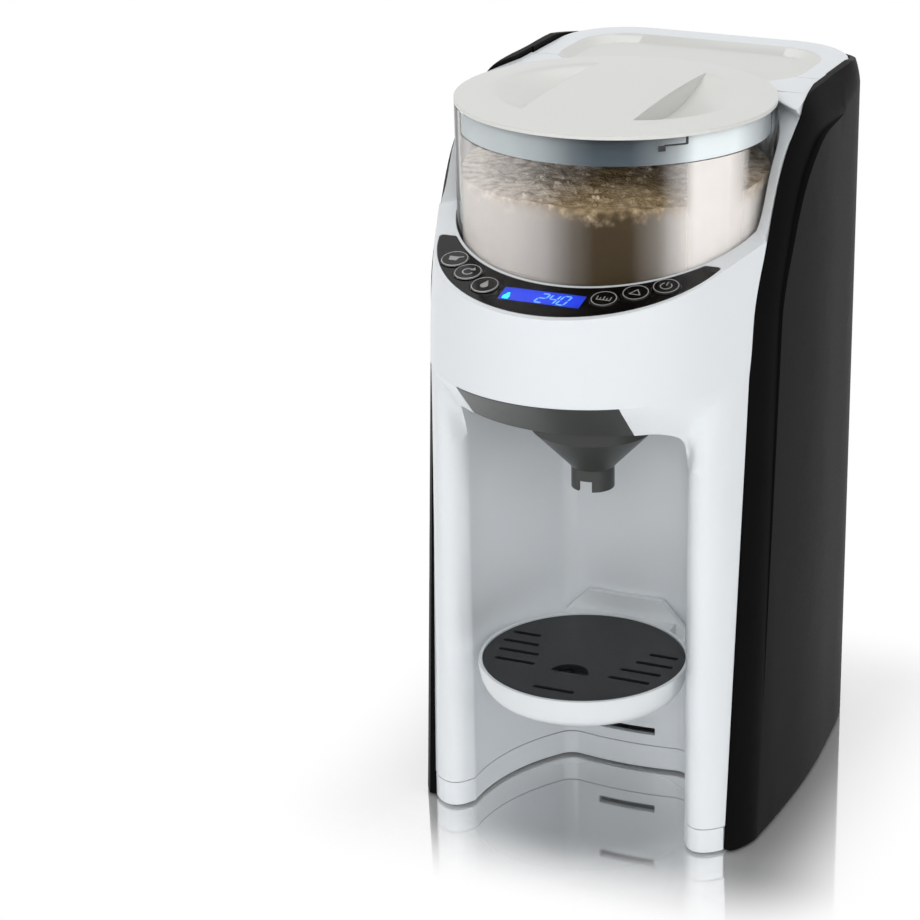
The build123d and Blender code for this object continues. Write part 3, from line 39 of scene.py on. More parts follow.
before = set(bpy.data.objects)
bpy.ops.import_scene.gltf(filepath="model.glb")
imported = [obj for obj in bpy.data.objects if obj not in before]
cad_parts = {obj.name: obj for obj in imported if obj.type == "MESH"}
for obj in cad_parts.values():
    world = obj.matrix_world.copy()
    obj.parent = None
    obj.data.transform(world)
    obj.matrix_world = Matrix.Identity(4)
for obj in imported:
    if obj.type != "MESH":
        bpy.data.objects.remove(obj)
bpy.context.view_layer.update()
MM = 0.001
AXIS_Y = -21.0 * MM  # the bowl's axis

# the control fascia is a sloping plane; its marks are laid out on it in millimetres
FASCIA_SLOPE = 0.25
FASCIA_FRONT_Y = -80.0  # measured from the bowl's axis, where its height is FASCIA_Z
FASCIA_Z = 268.7
KEYS = {  # centres in plan, from the bowl's axis
    "dose": (-50.3, -62.1),
    "dial": (-40.2, -70.7),
    "water": (-28.7, -78.8),
    "unit": (25.7, -78.1),
    "start": (37.2, -70.8),
    "power": (48.0, -63.3),
}
KEY_TOP = 0.8
WINDOW_AT = (-1.0, -82.0)

# the clear bowl's inner wall
WALL_LOW_Z, WALL_LOW_R = 272.0, 68.2
WALL_TOP_Z, WALL_TOP_R = 336.0, 68.8
BOWL_R = 71.0
SKIRT_TOP_Z = 334.9  # the lid above this is its white cover, below it the grey skirt
SKIRT_FOOT_Z = 323.0  # where its lower edge is seen through the wall
SEAL_Z = 328.4
SEAL_R = 68.0  # seen through the wall, it is flush with the skirt
SCRAPER_R = 67.4  # the powder hides where it meets the wall
FILM_TOP_Z = 322.8


# ---------------------------------------------------------------- colour and settings
def linear(text):
    """An sRGB hex colour as a linear RGBA tuple."""
    channels = [int(text[k : k + 2], 16) / 255 for k in (1, 3, 5)]
    return tuple(c / 12.92 if c <= 0.04045 else ((c + 0.055) / 1.055) ** 2.4 for c in channels) + (1.0,)


def colour_setting(name, description, text):
    return FloatVectorProperty(
        name=name, description=description, subtype="COLOR", size=3, min=0, max=1, default=linear(text)[:3]
    )


def length_setting(name, description, mm):
    return FloatProperty(name=name, description=description, unit="LENGTH", precision=5, default=mm * MM)


def power_setting(name, description, watts):
    return FloatProperty(name=name, description=description, unit="POWER", default=watts)


class ShellSettings(bpy.types.PropertyGroup):
    """Housing, lid and side panels"""

    shell: colour_setting("Housing", "Colour of the white housing", "#e3e7ea")
    lid: colour_setting("Lid", "Colour of the lid's cover", "#dadad6")
    panel: colour_setting("Side panels", "Colour of the grained side panels", "#0e0e0e")
    edge: length_setting("Edge rounding", "Radius that the mould leaves on hard edges", 0.45)


class ControlSettings(bpy.types.PropertyGroup):
    """Control fascia, display and keys"""

    fascia: colour_setting("Fascia", "Colour of the glossy fascia and keys", "#0a0909")
    mark: colour_setting("Key marks", "Colour of the rings and symbols on the keys", "#9a9a98")
    lamp: colour_setting("Display", "Colour of the backlight", "#2343ea")
    digit: colour_setting("Digits", "Colour of the lit digits", "#5f9dff")
    amount: IntProperty(name="Amount", description="Number on the display", default=240, min=0, max=999)
    digit_height: length_setting("Digit height", "Height of the display's digits", 6.9)
    ring_width: length_setting("Ring width", "Width of the ring round a key", 0.45)


class BowlSettings(bpy.types.PropertyGroup):
    """Powder bowl and the powder in it"""

    tint: colour_setting("Bowl", "Tint of the clear bowl", "#f8f8f7")
    powder: colour_setting("Powder", "Colour of the powder", "#867357")
    # the colour of the painted pale reflection, drawn on the film inside the wall and on the powder
    film: colour_setting("Dust film", "Colour of the fine dust on the bowl's inner wall", "#f1ecea")
    skirt: colour_setting("Lid skirt", "Colour of the lid's skirt, seen through the bowl", "#3b444b")
    level: length_setting("Powder level", "Height of the powder's top", 306.0)
    lump: length_setting("Lumps", "Height of the lumps on the powder's top", 3.2)


class DispenserSettings(bpy.types.PropertyGroup):
    """Funnel drawer and bottle tray"""

    drawer: colour_setting("Funnel drawer", "Colour of the funnel and its drawer", "#3e403e")
    tray: colour_setting("Tray", "Colour of the bottle tray", "#dce0e2")
    grate: colour_setting("Grate", "Colour of the tray's slotted cover", "#17181a")


class StageSettings(bpy.types.PropertyGroup):
    """Lamps and floor"""

    overhead: power_setting("Overhead", "Power of the overhead softbox", 12.5)
    front: power_setting("Front", "Power of the softbox in front", 14.5)
    key: power_setting("Right", "Power of the softbox on the right", 6.5)
    fill: power_setting("Left", "Power of the softbox on the left", 4.5)
    sky: FloatProperty(name="Room", description="Strength of the room's even light", default=0.28)


SETTINGS = {
    "formula_shell": ShellSettings,
    "formula_controls": ControlSettings,
    "formula_bowl": BowlSettings,
    "formula_dispenser": DispenserSettings,
    "formula_stage": StageSettings,
}


def setting(group, name):
    """A setting's value; a colour comes back with its alpha."""
    value = getattr(getattr(bpy.context.scene, "formula_" + group), name)
    return tuple(value) + (1.0,) if hasattr(value, "__len__") else value


# ---------------------------------------------------------------- nodes
def add(tree, kind, inputs=None, **settings):
    """Adds a shader node of a kind, sets its properties, and sets or links its inputs."""
    node = tree.nodes.new("ShaderNode" + kind)
    for name, value in settings.items():
        setattr(node, name, value)
    for name, value in (inputs or {}).items():
        socket = node.inputs[name]
        if isinstance(value, bpy.types.NodeSocket):
            tree.links.new(value, socket)
        else:
            socket.default_value = value
    return node


def start_material(name):
    """An empty node material and its tree."""
    material = bpy.data.materials.new(name)
    material.use_nodes = True
    tree = material.node_tree
    tree.nodes.clear()
    return material, tree


def finish_material(material, kind, inputs):
    """Ends a material with its shader."""
    shader = add(material.node_tree, kind, inputs)
    add(material.node_tree, "OutputMaterial", {"Surface": shader.outputs[0]})
    return material


def ramp(tree, factor, stops):
    """A colour ramp with (position, colour) stops; a colour is hex, linear or a grey level."""
    node = add(tree, "ValToRGB", {"Fac": factor})
    elements = node.color_ramp.elements
    while len(elements) < len(stops):
        elements.new(0.5)
    for element, (position, colour) in zip(elements, stops):
        element.position = position
        if isinstance(colour, str):
            element.color = linear(colour)
        else:
            element.color = colour if hasattr(colour, "__len__") else (colour, colour, colour, 1.0)
    return node


def shade(colour, factor):
    """A linear colour made lighter or darker."""
    return tuple(min(1.0, c * factor) for c in colour[:3]) + (1.0,)


def object_space(tree):
    return add(tree, "TexCoord").outputs["Object"]


def bearing(tree):
    """The bearing about the bowl's axis as 0..1: 0.5 is straight ahead and a full turn is 1."""
    place = add(tree, "Mapping", {"Vector": object_space(tree), "Location": (0.0, -AXIS_Y, 0.0)})
    parts = add(tree, "SeparateXYZ", {"Vector": place.outputs[0]})
    ahead = add(tree, "Math", {0: parts.outputs["Y"], 1: -1.0}, operation="MULTIPLY")
    angle = add(tree, "Math", {0: parts.outputs["X"], 1: ahead.outputs[0]}, operation="ARCTAN2")
    turn = add(tree, "Math", {0: angle.outputs[0], 1: 0.5 / math.pi, 2: 0.5}, operation="MULTIPLY_ADD")
    return turn.outputs[0]


def at_bearing(degrees):
    return 0.5 + degrees / 360.0


def rounded_normal(tree, radius):
    """Hard edges shaded as if rounded, as any mould leaves them."""
    return add(tree, "Bevel", {"Radius": radius}, samples=4).outputs["Normal"]


# ---------------------------------------------------------------- materials
def polished_abs(name, colour, roughness=0.32, coat=0.25, relief=0.02, specular=0.5):
    """ABS moulded in a polished tool: an even colour, a soft gloss, and a faint ripple in the highlight."""
    material, tree = start_material(name)
    place = object_space(tree)
    # the ripple of a moulded skin is some 6 mm long
    ripple = add(tree, "TexNoise", {"Vector": place, "Scale": 160.0, "Detail": 2.0})
    cloud = add(tree, "TexNoise", {"Vector": place, "Scale": 16.0, "Detail": 2.0})
    spread = {"Value": cloud.outputs["Fac"], "To Min": roughness - 0.03, "To Max": roughness + 0.04}
    rough = add(tree, "MapRange", spread)
    tone = ramp(tree, cloud.outputs["Fac"], [(0.0, shade(colour, 0.97)), (1.0, shade(colour, 1.02))])
    bump = {"Height": ripple.outputs["Fac"], "Strength": relief, "Distance": 0.4 * MM}
    bump["Normal"] = rounded_normal(tree, setting("shell", "edge"))
    surface = {
        "Base Color": tone.outputs[0],
        "Roughness": rough.outputs[0],
        "IOR": 1.54,
        "Specular IOR Level": specular,
        "Coat Weight": coat,
        "Coat Roughness": 0.07,
        "Normal": add(tree, "Bump", bump).outputs[0],
    }
    return finish_material(material, "BsdfPrincipled", surface)


def grained_abs(name, colour, roughness, grain_mm, depth, specular=0.5):
    """ABS from a spark-eroded tool: a fine even grain that breaks up the highlight."""
    material, tree = start_material(name)
    place = object_space(tree)
    # real grain is finer than it can show here, so it is drawn at the width given
    grain = add(tree, "TexNoise", {"Vector": place, "Scale": 1.0 / (grain_mm * MM), "Detail": 2.0})
    handling = add(tree, "TexNoise", {"Vector": place, "Scale": 22.0, "Detail": 3.0})
    tone = ramp(tree, handling.outputs["Fac"], [(0.1, shade(colour, 0.85)), (0.9, shade(colour, 1.15))])
    spread = {"Value": grain.outputs["Fac"], "To Min": roughness - 0.06, "To Max": roughness + 0.08}
    bump = {"Height": grain.outputs["Fac"], "Strength": depth, "Distance": 0.3 * MM}
    bump["Normal"] = rounded_normal(tree, setting("shell", "edge"))
    surface = {
        "Base Color": tone.outputs[0],
        "Roughness": add(tree, "MapRange", spread).outputs[0],
        "IOR": 1.54,
        "Specular IOR Level": specular,
        "Normal": add(tree, "Bump", bump).outputs[0],
    }
    return finish_material(material, "BsdfPrincipled", surface)


def clear_copolyester(name, tint, roughness, ior):
    """Moulded clear copolyester: a thin wall, dark where it is seen edge on.

    The plastic's own index is some 1.55. The bowl is given a lower one, since its wall would otherwise shift
    what is behind it more than the photo shows.
    """
    material, tree = start_material(name)
    smear = add(tree, "TexNoise", {"Vector": object_space(tree), "Scale": 30.0, "Detail": 3.0})
    spread = {"Value": smear.outputs["Fac"], "To Min": roughness * 0.5, "To Max": roughness * 1.5}
    # seen edge on, light crosses far more of the wall; the wall is darkened there to 3% of its tint, far more
    # than that path gives, as a painted dark rim for the dark edges that refraction shows
    edge = add(tree, "LayerWeight", {"Blend": 0.5})
    depth = ramp(tree, edge.outputs["Facing"], [(0.0, tint), (0.7, tint), (0.82, shade(tint, 0.03))])
    wall = add(
        tree,
        "BsdfPrincipled",
        {
            "Base Color": depth.outputs[0],
            "Roughness": add(tree, "MapRange", spread).outputs[0],
            "IOR": ior,
            "Transmission Weight": 1.0,
        },
    )
    # lamps reach what is inside straight through the wall
    passed = add(tree, "BsdfTransparent", {"Color": tint})
    path = add(tree, "LightPath")
    mixed = {0: path.outputs["Is Shadow Ray"], 1: wall.outputs[0], 2: passed.outputs[0]}
    return finish_material(material, "MixShader", mixed)


# how strongly a pale reflection of the softboxes is painted on what is seen through the bowl's wall, the
# pressed powder and the lid's skirt, by bearing in degrees: thin across the front
WALL_REFLECTION_LEFT = ((-110, 0.1), (-70, 0.46), (-40, 0.57), (-20, 0.48), (-5, 0.32))
WALL_REFLECTION_AHEAD = ((6, 0.08), (14, 0.0), (27, 0.0), (36, 0.14), (44, 0.4))
WALL_REFLECTION_RIGHT = ((51, 0.92), (70, 1.0), (82, 0.6), (95, 0.2))
PAINTED_WALL_REFLECTION = WALL_REFLECTION_LEFT + WALL_REFLECTION_AHEAD + WALL_REFLECTION_RIGHT
# the painted pale reflection on the film above the powder, where less is in the way
FILM_REFLECTION_LEFT = ((-110, 0.0), (-70, 0.1), (-40, 0.25), (-18, 0.1), (0, 0.0))
FILM_REFLECTION_RIGHT = ((38, 0.0), (47, 0.2), (51, 0.66), (66, 0.74), (72, 0.4), (78, 0.0))
# how pale the heap's loose top is drawn: a painted pale reflection, strongest on the left and none across the
# front
PAINTED_HEAP_REFLECTION = ((-90, 0.55), (-40, 0.45), (-15, 0.25), (5, 0.0), (45, 0.0), (70, 0.2))


def by_bearing(tree, stops):
    """A grey level that changes round the bowl, with (degrees, level) stops."""
    return ramp(tree, bearing(tree), [(at_bearing(angle), level) for angle, level in stops]).outputs[0]


def dust_film(name, colour):
    """A pale veil just inside the clear wall: a painted reflection of the softboxes, strong on the right,
    weaker on the left and none across the front.
    """
    material, tree = start_material(name)
    cloud = add(tree, "TexNoise", {"Vector": object_space(tree), "Scale": 45.0, "Detail": 4.0})
    patch = add(tree, "MapRange", {"Value": cloud.outputs["Fac"], "To Min": 0.85, "To Max": 1.1})
    veil = by_bearing(tree, FILM_REFLECTION_LEFT + FILM_REFLECTION_RIGHT)
    cover = add(tree, "Math", {0: veil, 1: patch.outputs[0]}, operation="MULTIPLY")
    # the veil's pale shader: the painted reflection
    grains = {"Base Color": colour, "Roughness": 0.6, "IOR": 1.3}
    dust_and_sheen = add(tree, "BsdfPrincipled", grains)
    clear = add(tree, "BsdfTransparent")
    mixed = {0: cover.outputs[0], 1: clear.outputs[0], 2: dust_and_sheen.outputs[0]}
    return finish_material(material, "MixShader", mixed)


def milk_powder(name, colour):
    """Agglomerated milk powder: matte grains about a millimetre across, in soft lumps on top and at the
    contact line, and pressed smooth against the wall below. Painted light: the lumps' crests are drawn
    lighter and their hollows darker, a pale painted reflection covers the sides, and the pressed powder is
    darkened across the front as painted shade."""
    material, tree = start_material(name)
    place = object_space(tree)
    soft = {"Vector": place, "Scale": 210.0, "Detail": 4.0, "Roughness": 0.55}
    clumps = add(tree, "TexNoise", soft)
    grains = add(tree, "TexVoronoi", {"Vector": place, "Scale": 750.0})
    # painted light on the lumps: the same noise raises them, so their crests are drawn lighter and their
    # hollows darker
    stops = [(0.3, shade(colour, 0.6)), (0.5, shade(colour, 1.15)), (0.7, "#b4a58e")]
    heap = ramp(tree, clumps.outputs["Fac"], stops)
    high = {"Value": clumps.outputs["Fac"], "From Min": 0.35, "From Max": 0.65, "To Min": 0.3, "To Max": 1.9}
    # a painted pale reflection on the heap's top, strongest on its crests
    crests = {0: by_bearing(tree, PAINTED_HEAP_REFLECTION), 1: add(tree, "MapRange", high).outputs[0]}
    cover = add(tree, "Math", crests, operation="MULTIPLY", use_clamp=True)
    heap_reflection = {"Fac": cover.outputs[0], "Color1": heap.outputs[0], "Color2": setting("bowl", "film")}
    loose = add(tree, "MixRGB", heap_reflection)
    # the pressed powder: a painted pale reflection at the sides, and across the front a fifth of the powder's
    # colour, partly its own darker tone and mostly painted shade
    reflected = {"Fac": by_bearing(tree, PAINTED_WALL_REFLECTION), "Color1": shade(colour, 0.2)}
    pressed = add(tree, "MixRGB", reflected | {"Color2": setting("bowl", "film")})
    facing = add(tree, "NewGeometry").outputs["True Normal"]
    normal = add(tree, "SeparateXYZ", {"Vector": facing})
    top = add(tree, "MapRange", {"Value": normal.outputs["Z"], "From Min": 0.05, "From Max": 0.4})
    # the lumps reach some 8 mm down the wall before the powder is pressed smooth
    height = add(tree, "SeparateXYZ", {"Vector": place}).outputs["Z"]
    ragged = add(
        tree, "Math", {0: clumps.outputs["Fac"], 1: 14.0 * MM, 2: height}, operation="MULTIPLY_ADD"
    )
    level = setting("bowl", "level")
    reach = {"Value": ragged.outputs[0], "From Min": level - 2.0 * MM, "From Max": level + 8.0 * MM}
    crest = add(tree, "MapRange", reach, interpolation_type="SMOOTHSTEP")
    upward = add(tree, "Math", {0: top.outputs[0], 1: crest.outputs[0]}, operation="MAXIMUM")
    mixed = {"Fac": upward.outputs[0], "Color1": pressed.outputs[0], "Color2": loose.outputs[0]}
    tone = add(tree, "MixRGB", mixed)
    bump = {"Height": clumps.outputs["Fac"], "Strength": upward.outputs[0], "Distance": 1.3 * MM}
    relief = {"Height": grains.outputs["Distance"], "Strength": upward.outputs[0], "Distance": 0.3 * MM}
    relief["Normal"] = add(tree, "Bump", bump).outputs[0]
    surface = {
        "Base Color": tone.outputs[0],
        "Roughness": 0.9,
        "IOR": 1.3,
        "Specular IOR Level": 0.2,
        "Normal": add(tree, "Bump", relief).outputs[0],
    }
    return finish_material(material, "BsdfPrincipled", surface)


def satin_skirt(name, colour):
    """The lid's skirt in satin grey copolyester, lighter towards its lower edge and darker towards the cover,
    with a painted pale reflection on its sides.
    """
    material, tree = start_material(name)
    parts = add(tree, "SeparateXYZ", {"Vector": object_space(tree)})
    height = {"Value": parts.outputs["Z"], "From Min": (FILM_TOP_Z - 1.0) * MM, "From Max": SKIRT_TOP_Z * MM}
    rise = add(tree, "MapRange", height)
    stops = [(0.0, shade(colour, 1.25)), (0.55, colour), (1.0, shade(colour, 0.6))]
    tone = ramp(tree, rise.outputs[0], stops)
    # painted pale reflection of the softboxes on the skirt's sides, as on the bowl's wall
    veil = by_bearing(tree, PAINTED_WALL_REFLECTION)
    reflected = {"Fac": veil, "Color1": tone.outputs[0], "Color2": linear("#dfe6ea")}
    mixed = add(tree, "MixRGB", reflected)
    cloud = add(tree, "TexNoise", {"Vector": object_space(tree), "Scale": 60.0, "Detail": 3.0})
    spread = {"Value": cloud.outputs["Fac"], "To Min": 0.3, "To Max": 0.42}
    surface = {
        "Base Color": mixed.outputs[0],
        "Roughness": add(tree, "MapRange", spread).outputs[0],
        "IOR": 1.5,
        "Specular IOR Level": 0.15,
    }
    return finish_material(material, "BsdfPrincipled", surface)


def moulded_rubber(name, dark, light):
    """Moulded silicone rubber: dull, with a slight dusting."""
    material, tree = start_material(name)
    dust_and_sheen = add(tree, "TexNoise", {"Vector": object_space(tree), "Scale": 700.0, "Detail": 3.0})
    tone = ramp(tree, dust_and_sheen.outputs["Fac"], [(0.35, dark), (0.75, light)])
    bump = {"Height": dust_and_sheen.outputs["Fac"], "Strength": 0.25, "Distance": 0.2 * MM}
    surface = {
        "Base Color": tone.outputs[0],
        "Roughness": 0.75,
        "Normal": add(tree, "Bump", bump).outputs[0],
    }
    return finish_material(material, "BsdfPrincipled", surface)


def machined_metal(name, colour, roughness):
    """Turned or drawn metal with fine tool lines."""
    material, tree = start_material(name)
    stretch = add(tree, "Mapping", {"Vector": object_space(tree), "Scale": (1.0, 1.0, 40.0)})
    lines = add(tree, "TexNoise", {"Vector": stretch.outputs[0], "Scale": 120.0, "Detail": 4.0})
    spread = {"Value": lines.outputs["Fac"], "To Min": roughness - 0.08, "To Max": roughness + 0.12}
    bump = {"Height": lines.outputs["Fac"], "Strength": 0.1, "Distance": 0.2 * MM}
    surface = {
        "Base Color": colour,
        "Metallic": 1.0,
        "Roughness": add(tree, "MapRange", spread).outputs[0],
        "Normal": add(tree, "Bump", bump).outputs[0],
    }
    return finish_material(material, "BsdfPrincipled", surface)


def backlit_window(name, colour):
    """A backlit display window: an even blue, a little deeper towards its edges."""
    material, tree = start_material(name)
    x, y = WINDOW_AT
    centre = (x * MM, y * MM + AXIS_Y, fascia_height(y) * MM)
    place = add(tree, "Mapping", {"Vector": object_space(tree), "Location": tuple(-c for c in centre)})
    # this scale makes the reach 0.78 at each end of the 37 mm window, and 0.58 at the edges of its 9.6 mm
    size = {0: place.outputs[0], 1: (42.0, 120.0, 0.0)}
    scaled = add(tree, "VectorMath", size, operation="MULTIPLY")
    reach = add(tree, "VectorMath", {0: scaled.outputs[0]}, operation="LENGTH")
    tone = ramp(
        tree, reach.outputs["Value"], [(0.0, shade(colour, 1.15)), (0.7, colour), (1.0, shade(colour, 0.7))]
    )
    surface = {
        "Base Color": linear("#05070f"),
        "Roughness": 0.12,
        "Emission Color": tone.outputs[0],
        "Emission Strength": 0.95,
    }
    return finish_material(material, "BsdfPrincipled", surface)


def lit_mark(name, colour, strength):
    """A printed or lit mark: it keeps its colour in shade, with the slight unevenness of print."""
    material, tree = start_material(name)
    grain = add(tree, "TexNoise", {"Vector": object_space(tree), "Scale": 1500.0, "Detail": 1.0})
    tone = ramp(tree, grain.outputs["Fac"], [(0.3, shade(colour, 0.92)), (0.7, shade(colour, 1.08))])
    surface = {
        "Base Color": tone.outputs[0],
        "Roughness": 0.4,
        "Emission Color": tone.outputs[0],
        "Emission Strength": strength,
    }
    return finish_material(material, "BsdfPrincipled", surface)


def key_ring(name, colour):
    """The moulded rings round three of the keys: lighter than the printed marks, and glossy."""
    return polished_abs(name, shade(colour, 1.6), 0.22, 0.3)


# the material's name, how it is made, its colour as a setting or a hex value, and what else the maker takes
FINISHES = {
    "shell": ("white_polished_abs", polished_abs, "shell.shell"),
    "lid": ("white_satin_abs", polished_abs, "shell.lid", 0.36, 0.15),
    "panel": ("black_grained_abs", grained_abs, "shell.panel", 0.42, 0.7, 0.2, 0.016),
    "fascia": ("black_gloss_abs", polished_abs, "controls.fascia", 0.08, 0.0, 0.004, 0.18),
    "key": ("black_key_abs", polished_abs, "controls.fascia", 0.12, 0.0, 0.004, 0.22),
    "mark": ("printed_key_mark", lit_mark, "controls.mark", 0.0),
    "bezel": ("grey_key_ring", key_ring, "controls.mark"),
    "display": ("backlit_window", backlit_window, "controls.lamp"),
    "digit": ("lit_digit", lit_mark, "controls.digit", 0.8),
    "symbol": ("lit_symbol", lit_mark, "#2fd7e8", 0.9),
    "bowl": ("clear_copolyester", clear_copolyester, "bowl.tint", 0.02, 1.06),
    "tank": ("smoke_copolyester", clear_copolyester, "#55595c", 0.06, 1.5),
    # a thin film inside the bowl's wall that carries a painted pale reflection
    "film": ("milk_dust_film", dust_film, "bowl.film"),
    "powder": ("milk_powder", milk_powder, "bowl.powder"),
    "skirt": ("grey_skirt_copolyester", satin_skirt, "bowl.skirt"),
    "drawer": ("grey_satin_abs", grained_abs, "dispenser.drawer", 0.34, 1.1, 0.08, 0.3),
    "tray": ("white_tray_abs", polished_abs, "dispenser.tray"),
    "grate": ("black_grate_abs", grained_abs, "dispenser.grate", 0.4, 0.8, 0.15, 0.3),
    "rubber": ("grey_silicone", moulded_rubber, "#252527", "#3c3c3e"),
    "steel": ("turned_steel", machined_metal, "#c9cbcd", 0.36),
    "aluminium": ("cast_aluminium", machined_metal, "#d4d6d8", 0.42),
    "inner": ("inner_grey_abs", grained_abs, "#8f9294", 0.45, 1.0, 0.1),
    "board": ("green_laminate", grained_abs, "#1f4a2c", 0.4, 1.6, 0.1),
}


def finish(key):
    """A finish, made the first time that a piece asks for it."""
    name, make, colour, *rest = FINISHES[key]
    found = bpy.data.materials.get(name)
    if found:
        return found
    colour = linear(colour) if colour.startswith("#") else setting(*colour.split("."))
    return make(name, colour, *rest)


# ---------------------------------------------------------------- making pieces
def mark_smooth(bm, sharp):
    """Smooth faces, with every edge sharper than this many degrees kept sharp."""
    for face in bm.faces:
        face.smooth = True
    for edge in bm.edges:
        edge.smooth = not edge.is_manifold or edge.calc_face_angle(0.0) < math.radians(sharp)


def link_piece(name, bm, keys, body, replaced=(), sharp=32.0):
    """Turns a bmesh into a finished piece that rides on a CAD body."""
    if not bm.faces:
        raise RuntimeError(name + " has no faces")
    mark_smooth(bm, sharp)
    mesh = bpy.data.meshes.new(name)
    bm.to_mesh(mesh)
    bm.free()
    for key in keys.split():
        mesh.materials.append(finish(key))
    piece = bpy.data.objects.new(name, mesh)
    bpy.context.scene.collection.objects.link(piece)
    even = piece.modifiers.new("even_normals", "WEIGHTED_NORMAL")
    even.keep_sharp = True
    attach(piece, body)
    if replaced:
        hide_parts(*replaced)


def merged_copy(node):
    """A CAD node as one joined bmesh."""
    bm = bmesh.new()
    bm.from_mesh(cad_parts[node].data)
    bmesh.ops.remove_doubles(bm, verts=bm.verts, dist=2e-6)
    bmesh.ops.dissolve_degenerate(bm, edges=bm.edges, dist=1e-6)
    for face in bm.faces:
        face.material_index = 0
    return bm


def soften(bm, width):
    """Rounds the hard edges of a copy."""
    bmesh.ops.dissolve_limit(bm, angle_limit=math.radians(0.3), verts=bm.verts, edges=bm.edges)
    hard = [e for e in bm.edges if e.is_manifold and e.calc_face_angle(0.0) > math.radians(35.0)]
    bmesh.ops.bevel(
        bm,
        geom=hard,
        offset=width,
        offset_type="OFFSET",
        segments=2,
        profile=0.5,
        affect="EDGES",
        clamp_overlap=True,
        material=-1,
    )


def refinish(node, keys, body, width=0.0, choose=None):
    """Replaces a CAD node by a finished copy; choose picks the material of a face."""
    bm = merged_copy(node)
    if width:
        soften(bm, width)
    if choose:
        for face in bm.faces:
            face.material_index = choose(face)
    link_piece("look_" + node, bm, keys, body, (node,))


def fascia_height(y):
    """Height in millimetres of the fascia's plane at a distance y from the bowl's axis."""
    return FASCIA_Z + FASCIA_SLOPE * (y - FASCIA_FRONT_Y)


def on_fascia(x, y, lift=0.0):
    """A place on the fascia's plane: X to the right, Y up the slope, Z out of it, in millimetres."""
    out = Vector((0.0, -FASCIA_SLOPE, 1.0)).normalized()
    up_slope = Vector((0.0, 1.0, FASCIA_SLOPE)).normalized()
    origin = Vector((x, y, fascia_height(y))) * MM + Vector((0.0, AXIS_Y, 0.0)) + out * lift * MM
    right = Vector((1.0, 0.0, 0.0))
    turn = Matrix((right, up_slope, out)).transposed().to_4x4()
    return Matrix.Translation(origin) @ turn @ Matrix.Scale(MM, 4)


def plate(bm, outline, height, place):
    """A flat mark: its outline in millimetres, raised by height."""
    corners = [bm.verts.new((x, y, 0.0)) for x, y in outline]
    face = bm.faces.new(corners)
    raised = bmesh.ops.extrude_face_region(bm, geom=[face])["geom"]
    upper = [v for v in raised if isinstance(v, bmesh.types.BMVert)]
    bmesh.ops.translate(bm, verts=upper, vec=(0, 0, height))
    bmesh.ops.transform(bm, matrix=place, verts=joined(bm, corners))


def joined(bm, seeds):
    """Every vertex joined to these by edges."""
    found, todo = set(), list(seeds)
    while todo:
        vert = todo.pop()
        if vert not in found:
            found.add(vert)
            todo += [e.other_vert(vert) for e in vert.link_edges]
    return list(found)


def turned_ring(bm, outer, inner, height, place, start=0.0, sweep=360.0, crown=0.0):
    """A ring or arc with a square section, or one with a crowned top; sizes in millimetres."""
    middle = (outer + inner) / 2
    section = [(inner, 0.0), (outer, 0.0), (outer, height), (middle, height + crown), (inner, height)]
    if not crown:
        del section[3]
    verts = [bm.verts.new((r, 0.0, z)) for r, z in section]
    face = bm.faces.new(verts)
    bmesh.ops.rotate(bm, verts=verts, matrix=Matrix.Rotation(math.radians(start), 3, "Z"))
    full = sweep >= 360.0
    geom = list(face.edges) + verts if full else [face] + list(face.edges) + verts
    if full:
        bm.faces.remove(face)
    steps = round(48 * sweep / 360.0)
    bmesh.ops.spin(
        bm, geom=geom, cent=(0, 0, 0), axis=(0, 0, 1), angle=math.radians(sweep), steps=steps, use_merge=full
    )
    bmesh.ops.transform(bm, matrix=place, verts=joined(bm, verts))


def close_up(bm):
    """Closes doubles and turns every face outwards."""
    bmesh.ops.remove_doubles(bm, verts=bm.verts, dist=1e-7)
    bmesh.ops.recalc_face_normals(bm, faces=bm.faces)


def bend_on_wall(bm, verts, radius):
    """Wraps flat vertices round the bowl: x is the arc, y the height, z how far out, in metres."""
    for vert in verts:
        arc, height, out = vert.co
        turn = arc / radius
        reach = radius + out
        vert.co = Vector((reach * math.sin(turn), AXIS_Y - reach * math.cos(turn), height))


# ---------------------------------------------------------------- pieces
class OBJECT_OT_housing(bpy.types.Operator):
    """White housing, base band, rear cover, black side panels and feet"""

    bl_idname = "formula_maker.housing"
    bl_label = "Housing"

    def execute(self, context):
        for node in ("front_shell", "base_plate", "rear_cover"):
            refinish(node, "shell", "housing")
        for side in ("left", "right"):
            refinish(side + "_side_panel", "panel", "housing")
        refinish("rubber_feet", "rubber", "housing", 0.3 * MM)
        return {"FINISHED"}


def digit_bars(value, left, height):
    """Outlines of one digit's lit bars, leaning as the display draws them."""
    lit = ("abcdef", "bc", "abged", "abgcd", "fgbc", "afgcd", "afgedc", "abc", "abcdefg", "abcdfg")[value]
    width, half, gap, lean = 0.5 * height, height / 2, 0.03 * height, 0.24
    cut = 0.055 * height  # half a bar's width, and the slant of its ends
    places = {
        "a": (0, half, width, half),
        "g": (0, 0, width, 0),
        "d": (0, -half, width, -half),
        "f": (0, 0, 0, half),
        "e": (0, -half, 0, 0),
        "b": (width, 0, width, half),
        "c": (width, -half, width, 0),
    }
    for name in lit:
        x0, y0, x1, y1 = places[name]
        if y0 == y1:
            x0, x1 = x0 + gap, x1 - gap
            outline = [(x0, y0), (x0 + cut, y0 - cut), (x1 - cut, y0 - cut)]
            outline += [(x1, y0), (x1 - cut, y0 + cut), (x0 + cut, y0 + cut)]
        else:
            y0, y1 = y0 + gap, y1 - gap
            outline = [(x0, y0), (x0 + cut, y0 + cut), (x0 + cut, y1 - cut)]
            outline += [(x0, y1), (x0 - cut, y1 - cut), (x0 - cut, y0 + cut)]
        yield [(left + x + lean * y, y) for x, y in outline]


